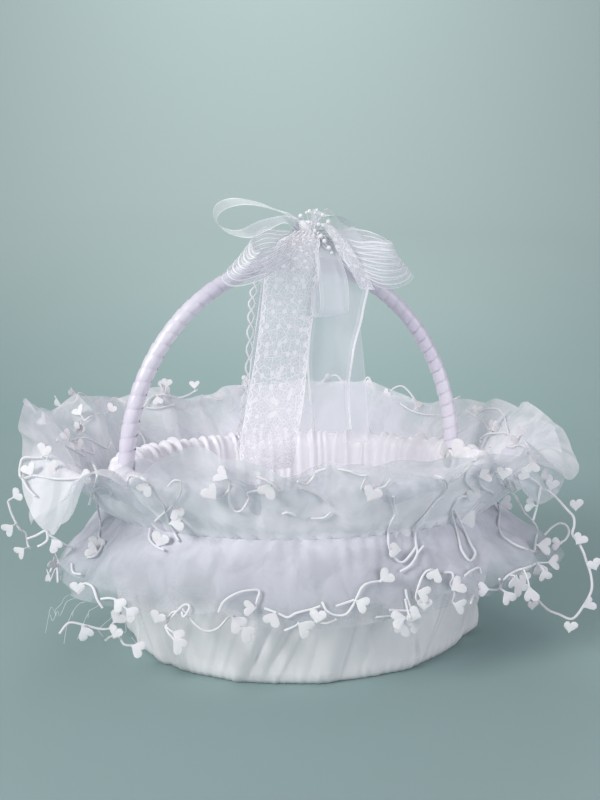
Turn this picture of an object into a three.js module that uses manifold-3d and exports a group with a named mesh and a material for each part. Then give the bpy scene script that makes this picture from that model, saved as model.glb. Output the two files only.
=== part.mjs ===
// Flower girl basket: satin covered wicker, tulle ruffle, wrapped handle, ribbon bow.
// Millimetres, +Z up, +X along the handle's span, origin at the middle of the base.
import * as THREE from "three";
import { mergeVertices } from "three/addons/utils/BufferGeometryUtils.js";
import Module from "manifold-3d";

const wasm = await Module();
wasm.setup();

// ---- driving dimensions
const DEPTH_RATIO = 0.94; // front-to-back size over side-to-side size
const RIM_HEIGHT = 110;
const SIDES = 40; // facets round the basket
const SHELL = [[1.2, 109.7], [30, 115.6], [102, 121.8]]; // height, outer radius of the weave
const SHELL_THICK = 2.5;
const COVER_GAP = 0.5;
const SATIN = 1.1;
const LINING_INSET = 9.6; // lining face inside the weave's outer face
const UPRIGHTS = 16;
const UPRIGHT_DIA = 3.6;
const HOOP_DIA = 4.4;
const BOARD_THICK = 4;
const HANDLE_SPAN = 231.4; // centre to centre at the rim
const HANDLE_TOP = 237.4;
const HANDLE_SPRING = 106.6;
const ROD_DIA = 5;
const WRAP_DIA = 9.4;
const GATHER_Z = 87; // stitched line of the ruffle
const LOWER_FALL = [[152.8, 40], [142.8, 60], [130.8, 78], [125.6, 86]];
const UPPER_FLARE = [[125.6, 88], [133.8, 103], [150.8, 121], [171.8, 136]];
const RUFFLE_THICK = 1.4;
const FOLDS = 18;
const FOLD_DEPTH = 4.5;
const CORD_DIA = 1.8;
const LEAF = 9;
const RIBBON = 22; // organza ribbon width
const LACE = 32; // lace ribbon width
const BOW_Z = 259; // height the two upper loops leave the knot at

const group = new THREE.Group();
const paint = (name, colour, roughness = 0.6) =>
  Object.assign(new THREE.MeshStandardMaterial({ color: colour, roughness }), { name });
const satin = paint("white_satin", "#f1f0f6", 0.35);
const tulle = paint("white_tulle", "#dfe5ee", 0.8);
const organza = paint("organza", "#e9eef4", 0.4);
const lace = paint("lace", "#f0f1f6", 0.8);
const cane = paint("cane", "#c9a878", 0.7);
const board = paint("board", "#b79163", 0.8);
const cord = paint("vine_cord", "#f7f8fb", 0.6);
const pearl = paint("pearl", "#f6f3ee", 0.2);

function plain(geometry) {
  const g = geometry.clone();
  for (const key of Object.keys(g.attributes)) if (key !== "position") g.deleteAttribute(key);
  return mergeVertices(g, 1e-4);
}

function add(name, geometry, material) {
  const g = plain(geometry);
  g.computeVertexNormals();
  const mesh = new THREE.Mesh(g, material);
  mesh.name = name;
  group.add(mesh);
}

function solid(geometry) {
  const g = plain(geometry);
  return new wasm.Manifold(new wasm.Mesh({
    numProp: 3,
    vertProperties: new Float32Array(g.attributes.position.array),
    triVerts: new Uint32Array(g.index.array),
  }));
}

function surface(manifold) {
  const m = manifold.getMesh();
  const g = new THREE.BufferGeometry();
  g.setAttribute("position", new THREE.BufferAttribute(new Float32Array(m.vertProperties), 3));
  g.setIndex(new THREE.BufferAttribute(new Uint32Array(m.triVerts), 1));
  return g;
}

// ---- turned shapes: profile as [radius, height], outer side upward
function turned(profile, sides = SIDES) {
  const points = [...profile, profile[0]].map(([r, z]) => new THREE.Vector2(r, z));
  return new THREE.LatheGeometry(points, sides).rotateX(Math.PI / 2).scale(1, DEPTH_RATIO, 1);
}

function disc(radius, low, high, sides = SIDES) {
  const points = [[0, low], [radius, low], [radius, high], [0, high]];
  return new THREE.LatheGeometry(points.map(([r, z]) => new THREE.Vector2(r, z)), sides)
    .rotateX(Math.PI / 2).scale(1, DEPTH_RATIO, 1);
}

function shellRadius(z) {
  let k = 0;
  while (k < SHELL.length - 2 && z > SHELL[k + 1][0]) k++;
  const [[z0, r0], [z1, r1]] = [SHELL[k], SHELL[k + 1]];
  return r0 + ((z - z0) / (z1 - z0)) * (r1 - r0);
}

// wall that follows the weave between two offsets from its outer face
function wall(heights, outset, inset) {
  const up = heights.map((z) => [shellRadius(z) + outset, z]);
  const down = [...heights].reverse().map((z) => [shellRadius(z) + inset, z]);
  return [...up, ...down];
}

function band(line, thick) {
  const side = (s) => line.map(([r, z], i) => {
    const [a, b] = [line[Math.max(i - 1, 0)], line[Math.min(i + 1, line.length - 1)]];
    const length = Math.hypot(b[0] - a[0], b[1] - a[1]);
    return [r + (s * thick / 2) * (b[1] - a[1]) / length, z - (s * thick / 2) * (b[0] - a[0]) / length];
  });
  return [...side(1), ...side(-1).reverse()];
}

// ---- body
function body() {
  add("underside_cover", disc(107.5, 0, 0.8), satin);
  add("base_board", disc(shellRadius(2) - SHELL_THICK - 0.5, 1.2, 1.2 + BOARD_THICK), board);
  add("wicker_wall", turned(wall([1.2, 30, 66, 102], 0, -SHELL_THICK)), cane);
  for (let i = 0; i < UPRIGHTS; i++) upright(i);
  const hoop = [];
  for (let i = 0; i < 8; i++) {
    const a = (i / 8) * 2 * Math.PI;
    hoop.push([121.2 + (HOOP_DIA / 2) * Math.cos(a), 104.9 + (HOOP_DIA / 2) * Math.sin(a)]);
  }
  add("rim_hoop", turned(hoop), cane);
  const cover = wall([0.9, 30, 66, 101.6], COVER_GAP + SATIN, COVER_GAP);
  add("outer_cover", turned(cover), satin);
  add("floor_pad", turned([[0.001, 5.6], [97, 5.6], [100.2, 7.4], [99.4, 10.6], [0.001, 12]]
    .slice(1, 4).concat([[40, 11.8], [40, 5.6]])), satin);
}

function upright(i) {
  const angle = ((i + 0.5) / UPRIGHTS) * 2 * Math.PI;
  const inset = SHELL_THICK + 1 + UPRIGHT_DIA / 2;
  const at = (z) => new THREE.Vector3((shellRadius(z) - inset) * Math.cos(angle),
    (shellRadius(z) - inset) * Math.sin(angle) * DEPTH_RATIO, z);
  const stick = rod([at(6), at(30), at(101.5)], UPRIGHT_DIA / 2, 6, 2);
  add(`upright_${String(i + 1).padStart(2, "0")}`, stick, cane);
}

function polygon(radius, sides, hole = 0) {
  const ring = (r) => Array.from({ length: sides }, (_, i) => new THREE.Vector2(
    r * Math.cos((i / sides) * 2 * Math.PI), r * Math.sin((i / sides) * 2 * Math.PI)));
  const shape = new THREE.Shape(ring(radius));
  if (hole) shape.holes.push(new THREE.Path(ring(hole).reverse()));
  return shape;
}

function rod(points, radius, sides, steps, hole = 0) {
  const path = new THREE.CatmullRomCurve3(points, false, "centripetal");
  return new THREE.ExtrudeGeometry(polygon(radius, sides, hole),
    { steps, bevelEnabled: false, extrudePath: path });
}

// ---- handle
function archPoint(t) {
  return new THREE.Vector3((HANDLE_SPAN / 2) * Math.cos(t), 0,
    HANDLE_SPRING + (HANDLE_TOP - HANDLE_SPRING) * Math.sin(t));
}

function handlePoints(start, legs) {
  const points = [];
  for (let i = 0; i <= 24; i++) points.push(archPoint(start + (i / 24) * (Math.PI - 2 * start)));
  if (!legs) return points;
  const foot = shellRadius(34) - SHELL_THICK - 0.7 - ROD_DIA / 2;
  const mid = shellRadius(70) - SHELL_THICK - 0.7 - ROD_DIA / 2;
  const leg = (s) => [new THREE.Vector3(s * foot, 0, 34), new THREE.Vector3(s * mid, 0, 70)];
  return [...leg(1), ...points, ...leg(-1).reverse()];
}

function handle() {
  add("handle_rod", rod(handlePoints(0, true), ROD_DIA / 2, 6, 36), cane);
  add("handle_wrap", rod(handlePoints(0.035, false), WRAP_DIA / 2, 8, 28, ROD_DIA / 2 + 0.5), satin);
}

// ---- lining: hangs inside, turned over the rim hoop, slit where the handle goes in
function lining() {
  const low = [12.6, 30, 98];
  const face = (z) => shellRadius(z) - LINING_INSET;
  const line = [...low.map((z) => [face(z), z]), [112.4, 103], [113.8, 106.8], [117.4, 109], [121.6, 109.2],
    [124.4, 106.8], [125.2, 102.8]];
  let skin = solid(turned(band(line.reverse(), SATIN)));
  for (const s of [-1, 1]) {
    const slit = new THREE.CylinderGeometry(ROD_DIA / 2 + 0.5, ROD_DIA / 2 + 0.5, 14, 10)
      .rotateX(Math.PI / 2).translate(s * HANDLE_SPAN / 2, 0, 109);
    skin = skin.subtract(solid(slit));
  }
  add("satin_lining", surface(skin), satin);
}

// ---- ruffle and its vines
function ruffle() {
  add("gather_tape", turned(wall([GATHER_Z - 3, GATHER_Z + 3], 2.7, 1.95)), satin);
  add("tulle_lower", folded(turned(band(LOWER_FALL, RUFFLE_THICK), 4 * FOLDS)), tulle);
  add("tulle_upper", folded(turned(band(UPPER_FLARE, RUFFLE_THICK), 4 * FOLDS)), tulle);
}

// folds that grow from the stitched line to both edges
function folded(geometry) {
  const p = geometry.attributes.position;
  for (let i = 0; i < p.count; i++) {
    const [x, y, z] = [p.getX(i), p.getY(i), p.getZ(i)];
    const wave = Math.sin(FOLDS * Math.atan2(y / DEPTH_RATIO, x));
    const swing = FOLD_DEPTH * wave * Math.abs(z - GATHER_Z) / 50;
    const out = z < GATHER_Z ? swing / Math.hypot(x, y / DEPTH_RATIO) : 0;
    p.setXYZ(i, x * (1 + out), y * (1 + out), z > GATHER_Z ? z + swing : z);
  }
  return geometry;
}

function heart(size) {
  const outline = [[0, 0], [0.5, 0.45], [0.52, 0.8], [0.26, 1], [0, 0.8], [-0.26, 1], [-0.52, 0.8],
    [-0.5, 0.45]].map(([x, y]) => new THREE.Vector2(x * size, y * size));
  return new THREE.ExtrudeGeometry(new THREE.Shape(outline), { depth: 0.8, bevelEnabled: false })
    .translate(0, -1.3, -0.4);
}

function leafAt(point, out, up, size = LEAF) {
  const side = new THREE.Vector3().crossVectors(out, up).normalize();
  const normal = new THREE.Vector3().crossVectors(side, out).normalize();
  const turn = new THREE.Matrix4().makeBasis(side, out.clone().normalize(), normal);
  return solid(heart(size).applyMatrix4(turn).translate(point.x, point.y, point.z));
}

// closed wavy cord outside an edge of the ruffle, with a leaf at each second crest
function vine(name, radius, height, slope, waves, swing, drop) {
  const out = new THREE.Vector2(Math.cos(slope), Math.sin(slope));
  const at = (a) => {
    const d = 3 + swing * (1 + Math.sin(waves * a)) / 2;
    const r = radius + d * out.x;
    return new THREE.Vector3(r * Math.cos(a), r * Math.sin(a) * DEPTH_RATIO,
      height + d * out.y + drop * Math.cos(a * 7));
  };
  const count = waves * 5;
  const loop = new THREE.CatmullRomCurve3(
    Array.from({ length: count }, (_, i) => at((i / count) * 2 * Math.PI)), true);
  let whole = solid(new THREE.TubeGeometry(loop, count, CORD_DIA / 2, 3, true));
  for (let i = 0; i < waves; i += 2) {
    const a = ((i + 0.25) / waves) * 2 * Math.PI;
    const away = new THREE.Vector3(Math.cos(a) * out.x, Math.sin(a) * out.x, out.y);
    const turned = new THREE.Vector3(-Math.sin(a), Math.cos(a), 0).multiplyScalar(i % 4 ? 0.5 : -0.5);
    const point = loop.getPoint((i + 0.25) / waves);
    whole = whole.add(leafAt(point, away.add(turned), new THREE.Vector3(0, 0.2, 1)));
  }
  add(name, surface(whole), cord);
}

function looseVine() {
  const points = [[104, -124, 111], [112, -130, 97], [117, -136, 84], [118, -139, 70], [124, -143, 54],
    [122, -142, 38], [115, -138, 28], [109, -133, 30]].map((p) => new THREE.Vector3(...p));
  let whole = solid(rod(points, CORD_DIA / 2, 8, 16));
  for (const i of [2, 3, 5, 6]) {
    const away = new THREE.Vector3(i === 6 ? -0.4 : 0.9, -0.4, i > 4 ? -0.8 : 0.6);
    whole = whole.add(leafAt(points[i], away, new THREE.Vector3(0.4, -1, 0.3)));
  }
  add("vine_loop_right", surface(whole), cord);
}

function footPetals() {
  const centre = new THREE.Vector3(112, -10, 115.5);
  let whole = solid(new THREE.SphereGeometry(2.2, 8, 6).translate(centre.x, centre.y, centre.z));
  for (const [dx, dz, size] of [[-1, 0.35, 15], [1, 0.3, 14], [0.1, 0.1, 9]]) {
    const out = new THREE.Vector3(dx, dz < 0.2 ? -1 : -0.25, dz);
    whole = whole.add(leafAt(centre, out, new THREE.Vector3(0, -1, 0.2), size));
  }
  add("foot_petals_right", surface(whole), cord);
}

// ---- bow
function ribbonLoop(length, height, width, thick = 0.9) {
  const outline = (inset) => Array.from({ length: 20 }, (_, i) => {
    const t = (i / 20) * 2 * Math.PI;
    const x = (length / 2) * (1 - Math.cos(t));
    const y = (height / 2) * Math.sin(t) * (0.35 + 0.65 * (x / length));
    return new THREE.Vector2(length / 2 + (x - length / 2) * (1 - 2 * inset / length),
      y * (1 - 2 * inset / height));
  });
  const shape = new THREE.Shape(outline(0));
  shape.holes.push(new THREE.Path(outline(thick).reverse()));
  return new THREE.ExtrudeGeometry(shape, { depth: width, bevelEnabled: false })
    .translate(0, 0, -width / 2);
}

// strip that falls: side line as [y, z], width along X, leaning sideways by a slope
function tail(name, line, width, x, lean, material, thick = 0.7) {
  const flat = band(line.map(([y, z]) => [y, z]), thick).map(([y, z]) => new THREE.Vector2(y, z));
  const g = new THREE.ExtrudeGeometry(new THREE.Shape(flat), { depth: width, bevelEnabled: false })
    .translate(0, 0, -width / 2);
  const turn = new THREE.Matrix4().set(0, 0, 1, x, 1, 0, 0, 0, 0, 1, 0, 0, 0, 0, 0, 1);
  g.applyMatrix4(turn);
  const top = line[0][1];
  g.applyMatrix4(new THREE.Matrix4().set(1, 0, lean, -lean * top, 0, 1, 0, 0, 0, 0, 1, 0, 0, 0, 0, 1));
  add(name, g, material);
}

function bow() {
  const ring = [[5.3, -9], [7.6, -9], [8.6, -4], [8.6, 4], [7.6, 9], [5.3, 9], [5.3, -9]];
  const around = new THREE.LatheGeometry(ring.map(([r, x]) => new THREE.Vector2(r, x)), 16)
    .rotateZ(-Math.PI / 2).translate(0, 0, HANDLE_TOP);
  const tied = new THREE.SphereGeometry(1, 12, 8).scale(8, 9, 9.5).translate(0, 0, BOW_Z - 5);
  add("bow_knot", surface(solid(around).add(solid(tied))), organza);
  const side = (g, turn, x, y, z) => g.rotateX(Math.PI / 2).rotateY(turn).translate(x, y, z);
  add("organza_loop_left",
    side(ribbonLoop(48, 20, RIBBON), Math.PI + 0.28, -9.6, 0, BOW_Z), organza);
  add("organza_loop_right",
    side(ribbonLoop(36, 15, RIBBON), -0.42, 9.6, 0, BOW_Z), organza);
  const hung = (g, spin, tilt) => g.rotateZ(spin).rotateY(tilt).translate(0, -21.5, 239);
  add("lace_loop_left",
    hung(ribbonLoop(45, 16, LACE - 4).translate(9, 0, 0), Math.PI, -0.12), lace);
  add("lace_loop_right",
    hung(ribbonLoop(55, 16, LACE - 4).translate(9, 0, 0), 0, 0.1), lace);
}

function tails() {
  const fall = (y0, low, bow = 2) => [[y0, 236], [y0 - bow, 212], [y0 - bow, 150], [y0 - bow + 0.5, low]];
  tail("lace_tail_wide", fall(-11.4, 88), LACE, -9, 0.07, lace);
  tail("organza_tail_left", fall(-13.6, 96), RIBBON, -7, 0.05, organza);
  tail("lace_tail_narrow", fall(-9.4, 97, 0.2), 11, -31, 0.02, lace);
  tail("organza_tail_right", fall(-11.4, 112), RIBBON, 24, -0.06, organza);
  tail("organza_tail_back", fall(-9.4, 107, 0.2), 14, 34, -0.1, organza);
  tail("organza_front_loop", [[-16, 214], [-19.5, 204], [-18, 192]], 16, 20, -0.05, organza);
}

function pearls() {
  const root = new THREE.Vector3(3, -12.8, BOW_Z - 1);
  let whole = solid(new THREE.SphereGeometry(1.3, 6, 4).translate(root.x, root.y, root.z));
  const tips = [[-6, -3, 7], [0, -2, 12], [6, -2, 10], [11, -2, 7], [14, -4, 2], [-1, -7, 5], [7, -8, 3]];
  for (const tip of tips) {
    const end = root.clone().add(new THREE.Vector3(...tip));
    const wire = rod([root, root.clone().lerp(end, 0.5), end], 0.4, 4, 1);
    const bead = new THREE.SphereGeometry(2.1, 6, 5).translate(end.x, end.y, end.z);
    whole = whole.add(solid(wire)).add(solid(bead));
  }
  add("pearl_spray", surface(whole), pearl);
}

body();
lining();
handle();
ruffle();
vine("vine_upper", 173.6, 137.6, 0.62, 26, 9, 3);
vine("vine_lower", 153.4, 38.2, -1.15, 22, 7, 2);
looseVine();
footPetals();
bow();
tails();
pearls();

export default group;
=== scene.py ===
"""Flower girl basket: satin covered wicker, tulle ruffle with heart vines, wrapped handle and ribbon bow."""

import math
import random

import bmesh
import bpy
from mathutils import Matrix, Vector, noise


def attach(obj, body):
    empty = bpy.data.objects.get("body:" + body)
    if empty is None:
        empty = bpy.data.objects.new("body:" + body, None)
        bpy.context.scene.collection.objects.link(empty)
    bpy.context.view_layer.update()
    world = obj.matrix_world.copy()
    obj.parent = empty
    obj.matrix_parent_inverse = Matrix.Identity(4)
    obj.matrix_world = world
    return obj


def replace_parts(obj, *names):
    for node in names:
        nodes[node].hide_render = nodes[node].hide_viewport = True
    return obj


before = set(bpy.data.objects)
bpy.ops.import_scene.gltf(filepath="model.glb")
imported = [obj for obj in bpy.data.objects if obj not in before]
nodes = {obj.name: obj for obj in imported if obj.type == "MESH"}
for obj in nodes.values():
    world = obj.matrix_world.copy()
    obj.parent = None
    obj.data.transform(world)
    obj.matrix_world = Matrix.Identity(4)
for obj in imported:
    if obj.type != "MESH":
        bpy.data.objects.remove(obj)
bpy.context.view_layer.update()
MM = 0.001
TURN = 2 * math.pi
DEPTH = 0.94  # front to back over side to side
HALF_SPAN = 115.7
SPRING, APEX = 106.6, 237.4
WRAP_RADIUS = 4.7
WRAP_PITCH, WRAP_WIDTH = 8.2, 10.5


# ---------------------------------------------------------------- shader helpers
def add_node(tree, kind, values=None, **settings):
    node = tree.nodes.new(kind)
    for key, value in settings.items():
        setattr(node, key, value)
    for key, value in (values or {}).items():
        if isinstance(value, bpy.types.NodeSocket):
            tree.links.new(value, node.inputs[key])
        else:
            node.inputs[key].default_value = value
    return node


def calc(tree, operation, a, b=0.5, c=0.0):
    return add_node(tree, "ShaderNodeMath", {0: a, 1: b, 2: c}, operation=operation).outputs[0]


def ramp(tree, value, low, high, out_low=0.0, out_high=1.0):
    return add_node(tree, "ShaderNodeMapRange",
                    {"Value": value, "From Min": low, "From Max": high,
                     "To Min": out_low, "To Max": out_high},
                    interpolation_type="SMOOTHSTEP").outputs["Result"]


def blend_colours(tree, factor, first, second):
    mix = add_node(tree, "ShaderNodeMix", data_type="RGBA")
    for socket, value in ((mix.inputs[0], factor), (mix.inputs[6], first), (mix.inputs[7], second)):
        if isinstance(value, bpy.types.NodeSocket):
            tree.links.new(value, socket)
        else:
            socket.default_value = value
    return mix.outputs[2]


def new_group(name, inputs, outputs):
    tree = bpy.data.node_groups.new(name, "ShaderNodeTree")
    for label, kind, value in inputs:
        socket = tree.interface.new_socket(label, in_out="INPUT", socket_type=kind)
        if value is not None:
            socket.default_value = value
    for label, kind in outputs:
        tree.interface.new_socket(label, in_out="OUTPUT", socket_type=kind)
    return tree, tree.nodes.new("NodeGroupInput"), tree.nodes.new("NodeGroupOutput")


FLOAT, VECTOR = "NodeSocketFloat", "NodeSocketVector"


def make_thread_weave():
    """Two crossing sets of threads, as fine height."""
    tree, source, sink = new_group("thread_weave", [("Vector", VECTOR, None), ("Threads", FLOAT, 60.0)],
                                   [("Height", FLOAT)])
    waves = []
    for direction in "XY":
        wave = add_node(tree, "ShaderNodeTexWave", {"Vector": source.outputs["Vector"],
                                                    "Scale": source.outputs["Threads"],
                                                    "Distortion": 0.4}, bands_direction=direction)
        waves.append(wave.outputs["Fac"])
    tree.links.new(calc(tree, "ADD", waves[0], waves[1]), sink.inputs["Height"])
    return tree


def make_soft_crease():
    """Slow creases and a faint change of tone, for cloth that has been handled."""
    tree, source, sink = new_group("soft_crease", [("Vector", VECTOR, None), ("Size", FLOAT, 8.0)],
                                   [("Height", FLOAT), ("Tone", FLOAT)])
    noise = add_node(tree, "ShaderNodeTexNoise", {"Vector": source.outputs["Vector"],
                                                  "Scale": source.outputs["Size"],
                                                  "Detail": 4.0, "Distortion": 0.6})
    slow = add_node(tree, "ShaderNodeTexNoise", {"Vector": source.outputs["Vector"], "Scale": 14.0})
    tree.links.new(noise.outputs["Fac"], sink.inputs["Height"])
    tree.links.new(ramp(tree, slow.outputs["Fac"], 0.35, 0.65), sink.inputs["Tone"])
    return tree


def make_open_net():
    """Diamond net: 1 on the threads, 0 in the holes."""
    tree, source, sink = new_group("open_net", [("Vector", VECTOR, None), ("Cells", FLOAT, 90.0),
                                                ("Thread", FLOAT, 0.3)], [("Mask", FLOAT)])
    turned = add_node(tree, "ShaderNodeMapping", {"Vector": source.outputs["Vector"],
                                                  "Rotation": (0, 0, math.radians(45))})
    masks = []
    for direction in "XY":
        wave = add_node(tree, "ShaderNodeTexWave", {"Vector": turned.outputs[0],
                                                    "Scale": source.outputs["Cells"]},
                        bands_direction=direction)
        edge = calc(tree, "SUBTRACT", 1.0, source.outputs["Thread"])
        masks.append(ramp(tree, wave.outputs["Fac"], edge, 1.0))
    tree.links.new(calc(tree, "MAXIMUM", masks[0], masks[1]), sink.inputs["Mask"])
    return tree


WEAVE, CREASE, NET = make_thread_weave(), make_soft_crease(), make_open_net()


def placed_group(tree, group, values):
    node = tree.nodes.new("ShaderNodeGroup")
    node.node_tree = group
    for key, value in values.items():
        if isinstance(value, bpy.types.NodeSocket):
            tree.links.new(value, node.inputs[key])
        else:
            node.inputs[key].default_value = value
    return node


def new_material(name, **shader):
    material = bpy.data.materials.new(name)
    material.use_nodes = True
    tree = material.node_tree
    principled = tree.nodes["Principled BSDF"]
    for key, value in shader.items():
        principled.inputs[key.replace("_", " ")].default_value = value
    return material, tree, principled


def bump(tree, principled, height, strength, distance):
    relief = add_node(tree, "ShaderNodeBump", {"Height": height, "Strength": strength,
                                               "Distance": distance})
    tree.links.new(relief.outputs[0], principled.inputs["Normal"])


def cloth_uv(tree):
    return add_node(tree, "ShaderNodeUVMap", uv_map="cloth").outputs[0]


def object_place(tree):
    return tree.nodes.new("ShaderNodeTexCoord").outputs["Object"]


# ---------------------------------------------------------------- materials
def satin_cloth(name, light, shade, roughness, sheen=0.25, crease=40.0):
    material, tree, principled = new_material(name, Sheen_Weight=sheen, Sheen_Roughness=0.35,
                                              Specular_IOR_Level=0.55)
    place = object_place(tree)
    folds = placed_group(tree, CREASE, {"Vector": place, "Size": crease})
    weave = placed_group(tree, WEAVE, {"Vector": place, "Threads": 900.0})
    colour = blend_colours(tree, folds.outputs["Tone"], light, shade)
    tree.links.new(colour, principled.inputs["Base Color"])
    tree.links.new(ramp(tree, folds.outputs["Height"], 0.3, 0.7, roughness - 0.06, roughness + 0.08),
                   principled.inputs["Roughness"])
    height = calc(tree, "ADD", calc(tree, "MULTIPLY", folds.outputs["Height"], 1.0),
                  calc(tree, "MULTIPLY", weave.outputs["Height"], 0.03))
    bump(tree, principled, height, 0.35, 0.0015)
    return material


def sheer_net(name, low, high, reach, colour):
    """Bridal tulle: a net too fine to see singly, thicker to the eye where it is gathered."""
    material, tree, principled = new_material(name, Roughness=0.75, Sheen_Weight=0.3,
                                              Specular_IOR_Level=0.25)
    uv = cloth_uv(tree)
    split = add_node(tree, "ShaderNodeSeparateXYZ", {0: uv})
    net = placed_group(tree, NET, {"Vector": uv, "Cells": 42.0, "Thread": 0.45})
    folds = placed_group(tree, CREASE, {"Vector": uv, "Size": 0.5})
    dense = ramp(tree, split.outputs["Y"], 0.6, reach, high, low)
    cover = calc(tree, "ADD", dense, calc(tree, "MULTIPLY", net.outputs["Mask"], 0.06))
    cover = calc(tree, "ADD", cover, ramp(tree, folds.outputs["Height"], 0.35, 0.65, -0.1, 0.1))
    tree.links.new(cover, principled.inputs["Alpha"])
    shaded = (colour[0] * 0.95, colour[1] * 0.97, colour[2], 1)
    tone = blend_colours(tree, folds.outputs["Tone"], colour, shaded)
    tree.links.new(tone, principled.inputs["Base Color"])
    return material


def edged_organza(name, width, sheer=0.34, edge=0.9):
    """Organza ribbon: clear body, a woven band and a bright wire-thin thread along both edges."""
    material, tree, principled = new_material(name, Roughness=0.42, Sheen_Weight=0.35,
                                              Specular_IOR_Level=0.5)
    uv = cloth_uv(tree)
    split = add_node(tree, "ShaderNodeSeparateXYZ", {0: uv})
    out = calc(tree, "ABSOLUTE", split.outputs["X"], 0.0)
    thread = ramp(tree, out, width / 2 - 0.09, width / 2 - 0.05)
    band = ramp(tree, out, width / 2 - 0.36, width / 2 - 0.3, 0.0, 0.12)
    weave = placed_group(tree, WEAVE, {"Vector": uv, "Threads": 9.0})
    cover = calc(tree, "ADD", calc(tree, "MULTIPLY", weave.outputs["Height"], 0.05), sheer)
    cover = calc(tree, "ADD", cover, band)
    cover = calc(tree, "ADD", cover, calc(tree, "MULTIPLY", thread, edge))
    tree.links.new(calc(tree, "MINIMUM", cover, 1.0), principled.inputs["Alpha"])
    colour = blend_colours(tree, thread, (0.82, 0.85, 0.9, 1), (0.97, 0.98, 1, 1))
    tree.links.new(colour, principled.inputs["Base Color"])
    return material


def flowered_lace(name, width, ground=0.4, scallop=True):
    """Lace ribbon: net ground, trailing flower shapes in dense thread, looped edge."""
    material, tree, principled = new_material(name, Roughness=0.7, Sheen_Weight=0.2,
                                              Specular_IOR_Level=0.3)
    uv = cloth_uv(tree)
    split = add_node(tree, "ShaderNodeSeparateXYZ", {0: uv})
    across, along = split.outputs["X"], split.outputs["Y"]
    net = placed_group(tree, NET, {"Vector": uv, "Cells": 7.0, "Thread": 0.5})
    cells = add_node(tree, "ShaderNodeTexVoronoi", {"Vector": uv, "Scale": 1.7, "Randomness": 1.0},
                     feature="DISTANCE_TO_EDGE", voronoi_dimensions="2D")
    vines = ramp(tree, cells.outputs["Distance"], 0.02, 0.07, 0.9, 0.0)
    bloom = add_node(tree, "ShaderNodeTexVoronoi", {"Vector": uv, "Scale": 1.5, "Randomness": 0.6},
                     feature="SMOOTH_F1", voronoi_dimensions="2D")
    petals = ramp(tree, bloom.outputs["Distance"], 0.16, 0.26, 0.85, 0.0)
    vein = add_node(tree, "ShaderNodeTexVoronoi", {"Vector": uv, "Scale": 5.0, "Randomness": 1.0},
                    feature="DISTANCE_TO_EDGE", voronoi_dimensions="2D")
    veins = ramp(tree, vein.outputs["Distance"], 0.02, 0.2, 0.5, 0.1)
    pattern = calc(tree, "MAXIMUM", calc(tree, "MAXIMUM", vines, petals), veins)
    out = calc(tree, "ABSOLUTE", across, 0.0)
    border = ramp(tree, out, width / 2 - 0.12, width / 2 - 0.06)
    if scallop:
        swing = calc(tree, "MULTIPLY", calc(tree, "ABSOLUTE", calc(tree, "SINE", calc(
            tree, "MULTIPLY", along, 5.5), 0.0), 0.0), 0.22)
        bow_line = calc(tree, "ABSOLUTE", calc(tree, "SUBTRACT", calc(
            tree, "SUBTRACT", width / 2 - 0.05, swing), out), 0.0)
        border = calc(tree, "MAXIMUM", border, ramp(tree, bow_line, 0.03, 0.08, 1.0, 0.0))
    cover = calc(tree, "ADD", calc(tree, "MULTIPLY", net.outputs["Mask"], 0.2), ground)
    cover = calc(tree, "ADD", cover, calc(tree, "MULTIPLY", pattern, 0.42))
    cover = calc(tree, "MAXIMUM", cover, border)
    tree.links.new(calc(tree, "MINIMUM", cover, 1.0), principled.inputs["Alpha"])
    colour = blend_colours(tree, calc(tree, "MAXIMUM", pattern, border),
                           (0.86, 0.87, 0.92, 1), (0.97, 0.97, 1, 1))
    tree.links.new(colour, principled.inputs["Base Color"])
    bump(tree, principled, pattern, 0.5, 0.0004)
    return material


def corded_lace(name, width):
    """Gathered lace ribbon: a row of raised cords with sheer ground between."""
    material, tree, principled = new_material(name, Roughness=0.6, Sheen_Weight=0.25,
                                              Specular_IOR_Level=0.35)
    uv = cloth_uv(tree)
    split = add_node(tree, "ShaderNodeSeparateXYZ", {0: uv})
    rows = calc(tree, "SINE", calc(tree, "MULTIPLY", split.outputs["X"], TURN / (width / 7)), 0.0)
    cords = ramp(tree, rows, 0.55, 0.9)
    dots = placed_group(tree, NET, {"Vector": uv, "Cells": 9.0, "Thread": 0.55})
    edge = ramp(tree, calc(tree, "ABSOLUTE", split.outputs["X"], 0.0), width / 2 - 0.12, width / 2 - 0.06)
    cover = calc(tree, "ADD", calc(tree, "MULTIPLY", cords, 0.6), 0.16)
    cover = calc(tree, "ADD", cover, calc(tree, "MULTIPLY", dots.outputs["Mask"], 0.16))
    cover = calc(tree, "MAXIMUM", cover, edge)
    tree.links.new(calc(tree, "MINIMUM", cover, 1.0), principled.inputs["Alpha"])
    colour = blend_colours(tree, cords, (0.84, 0.86, 0.91, 1), (0.98, 0.985, 1, 1))
    tree.links.new(colour, principled.inputs["Base Color"])
    bump(tree, principled, cords, 0.6, 0.0005)
    return material


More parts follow.
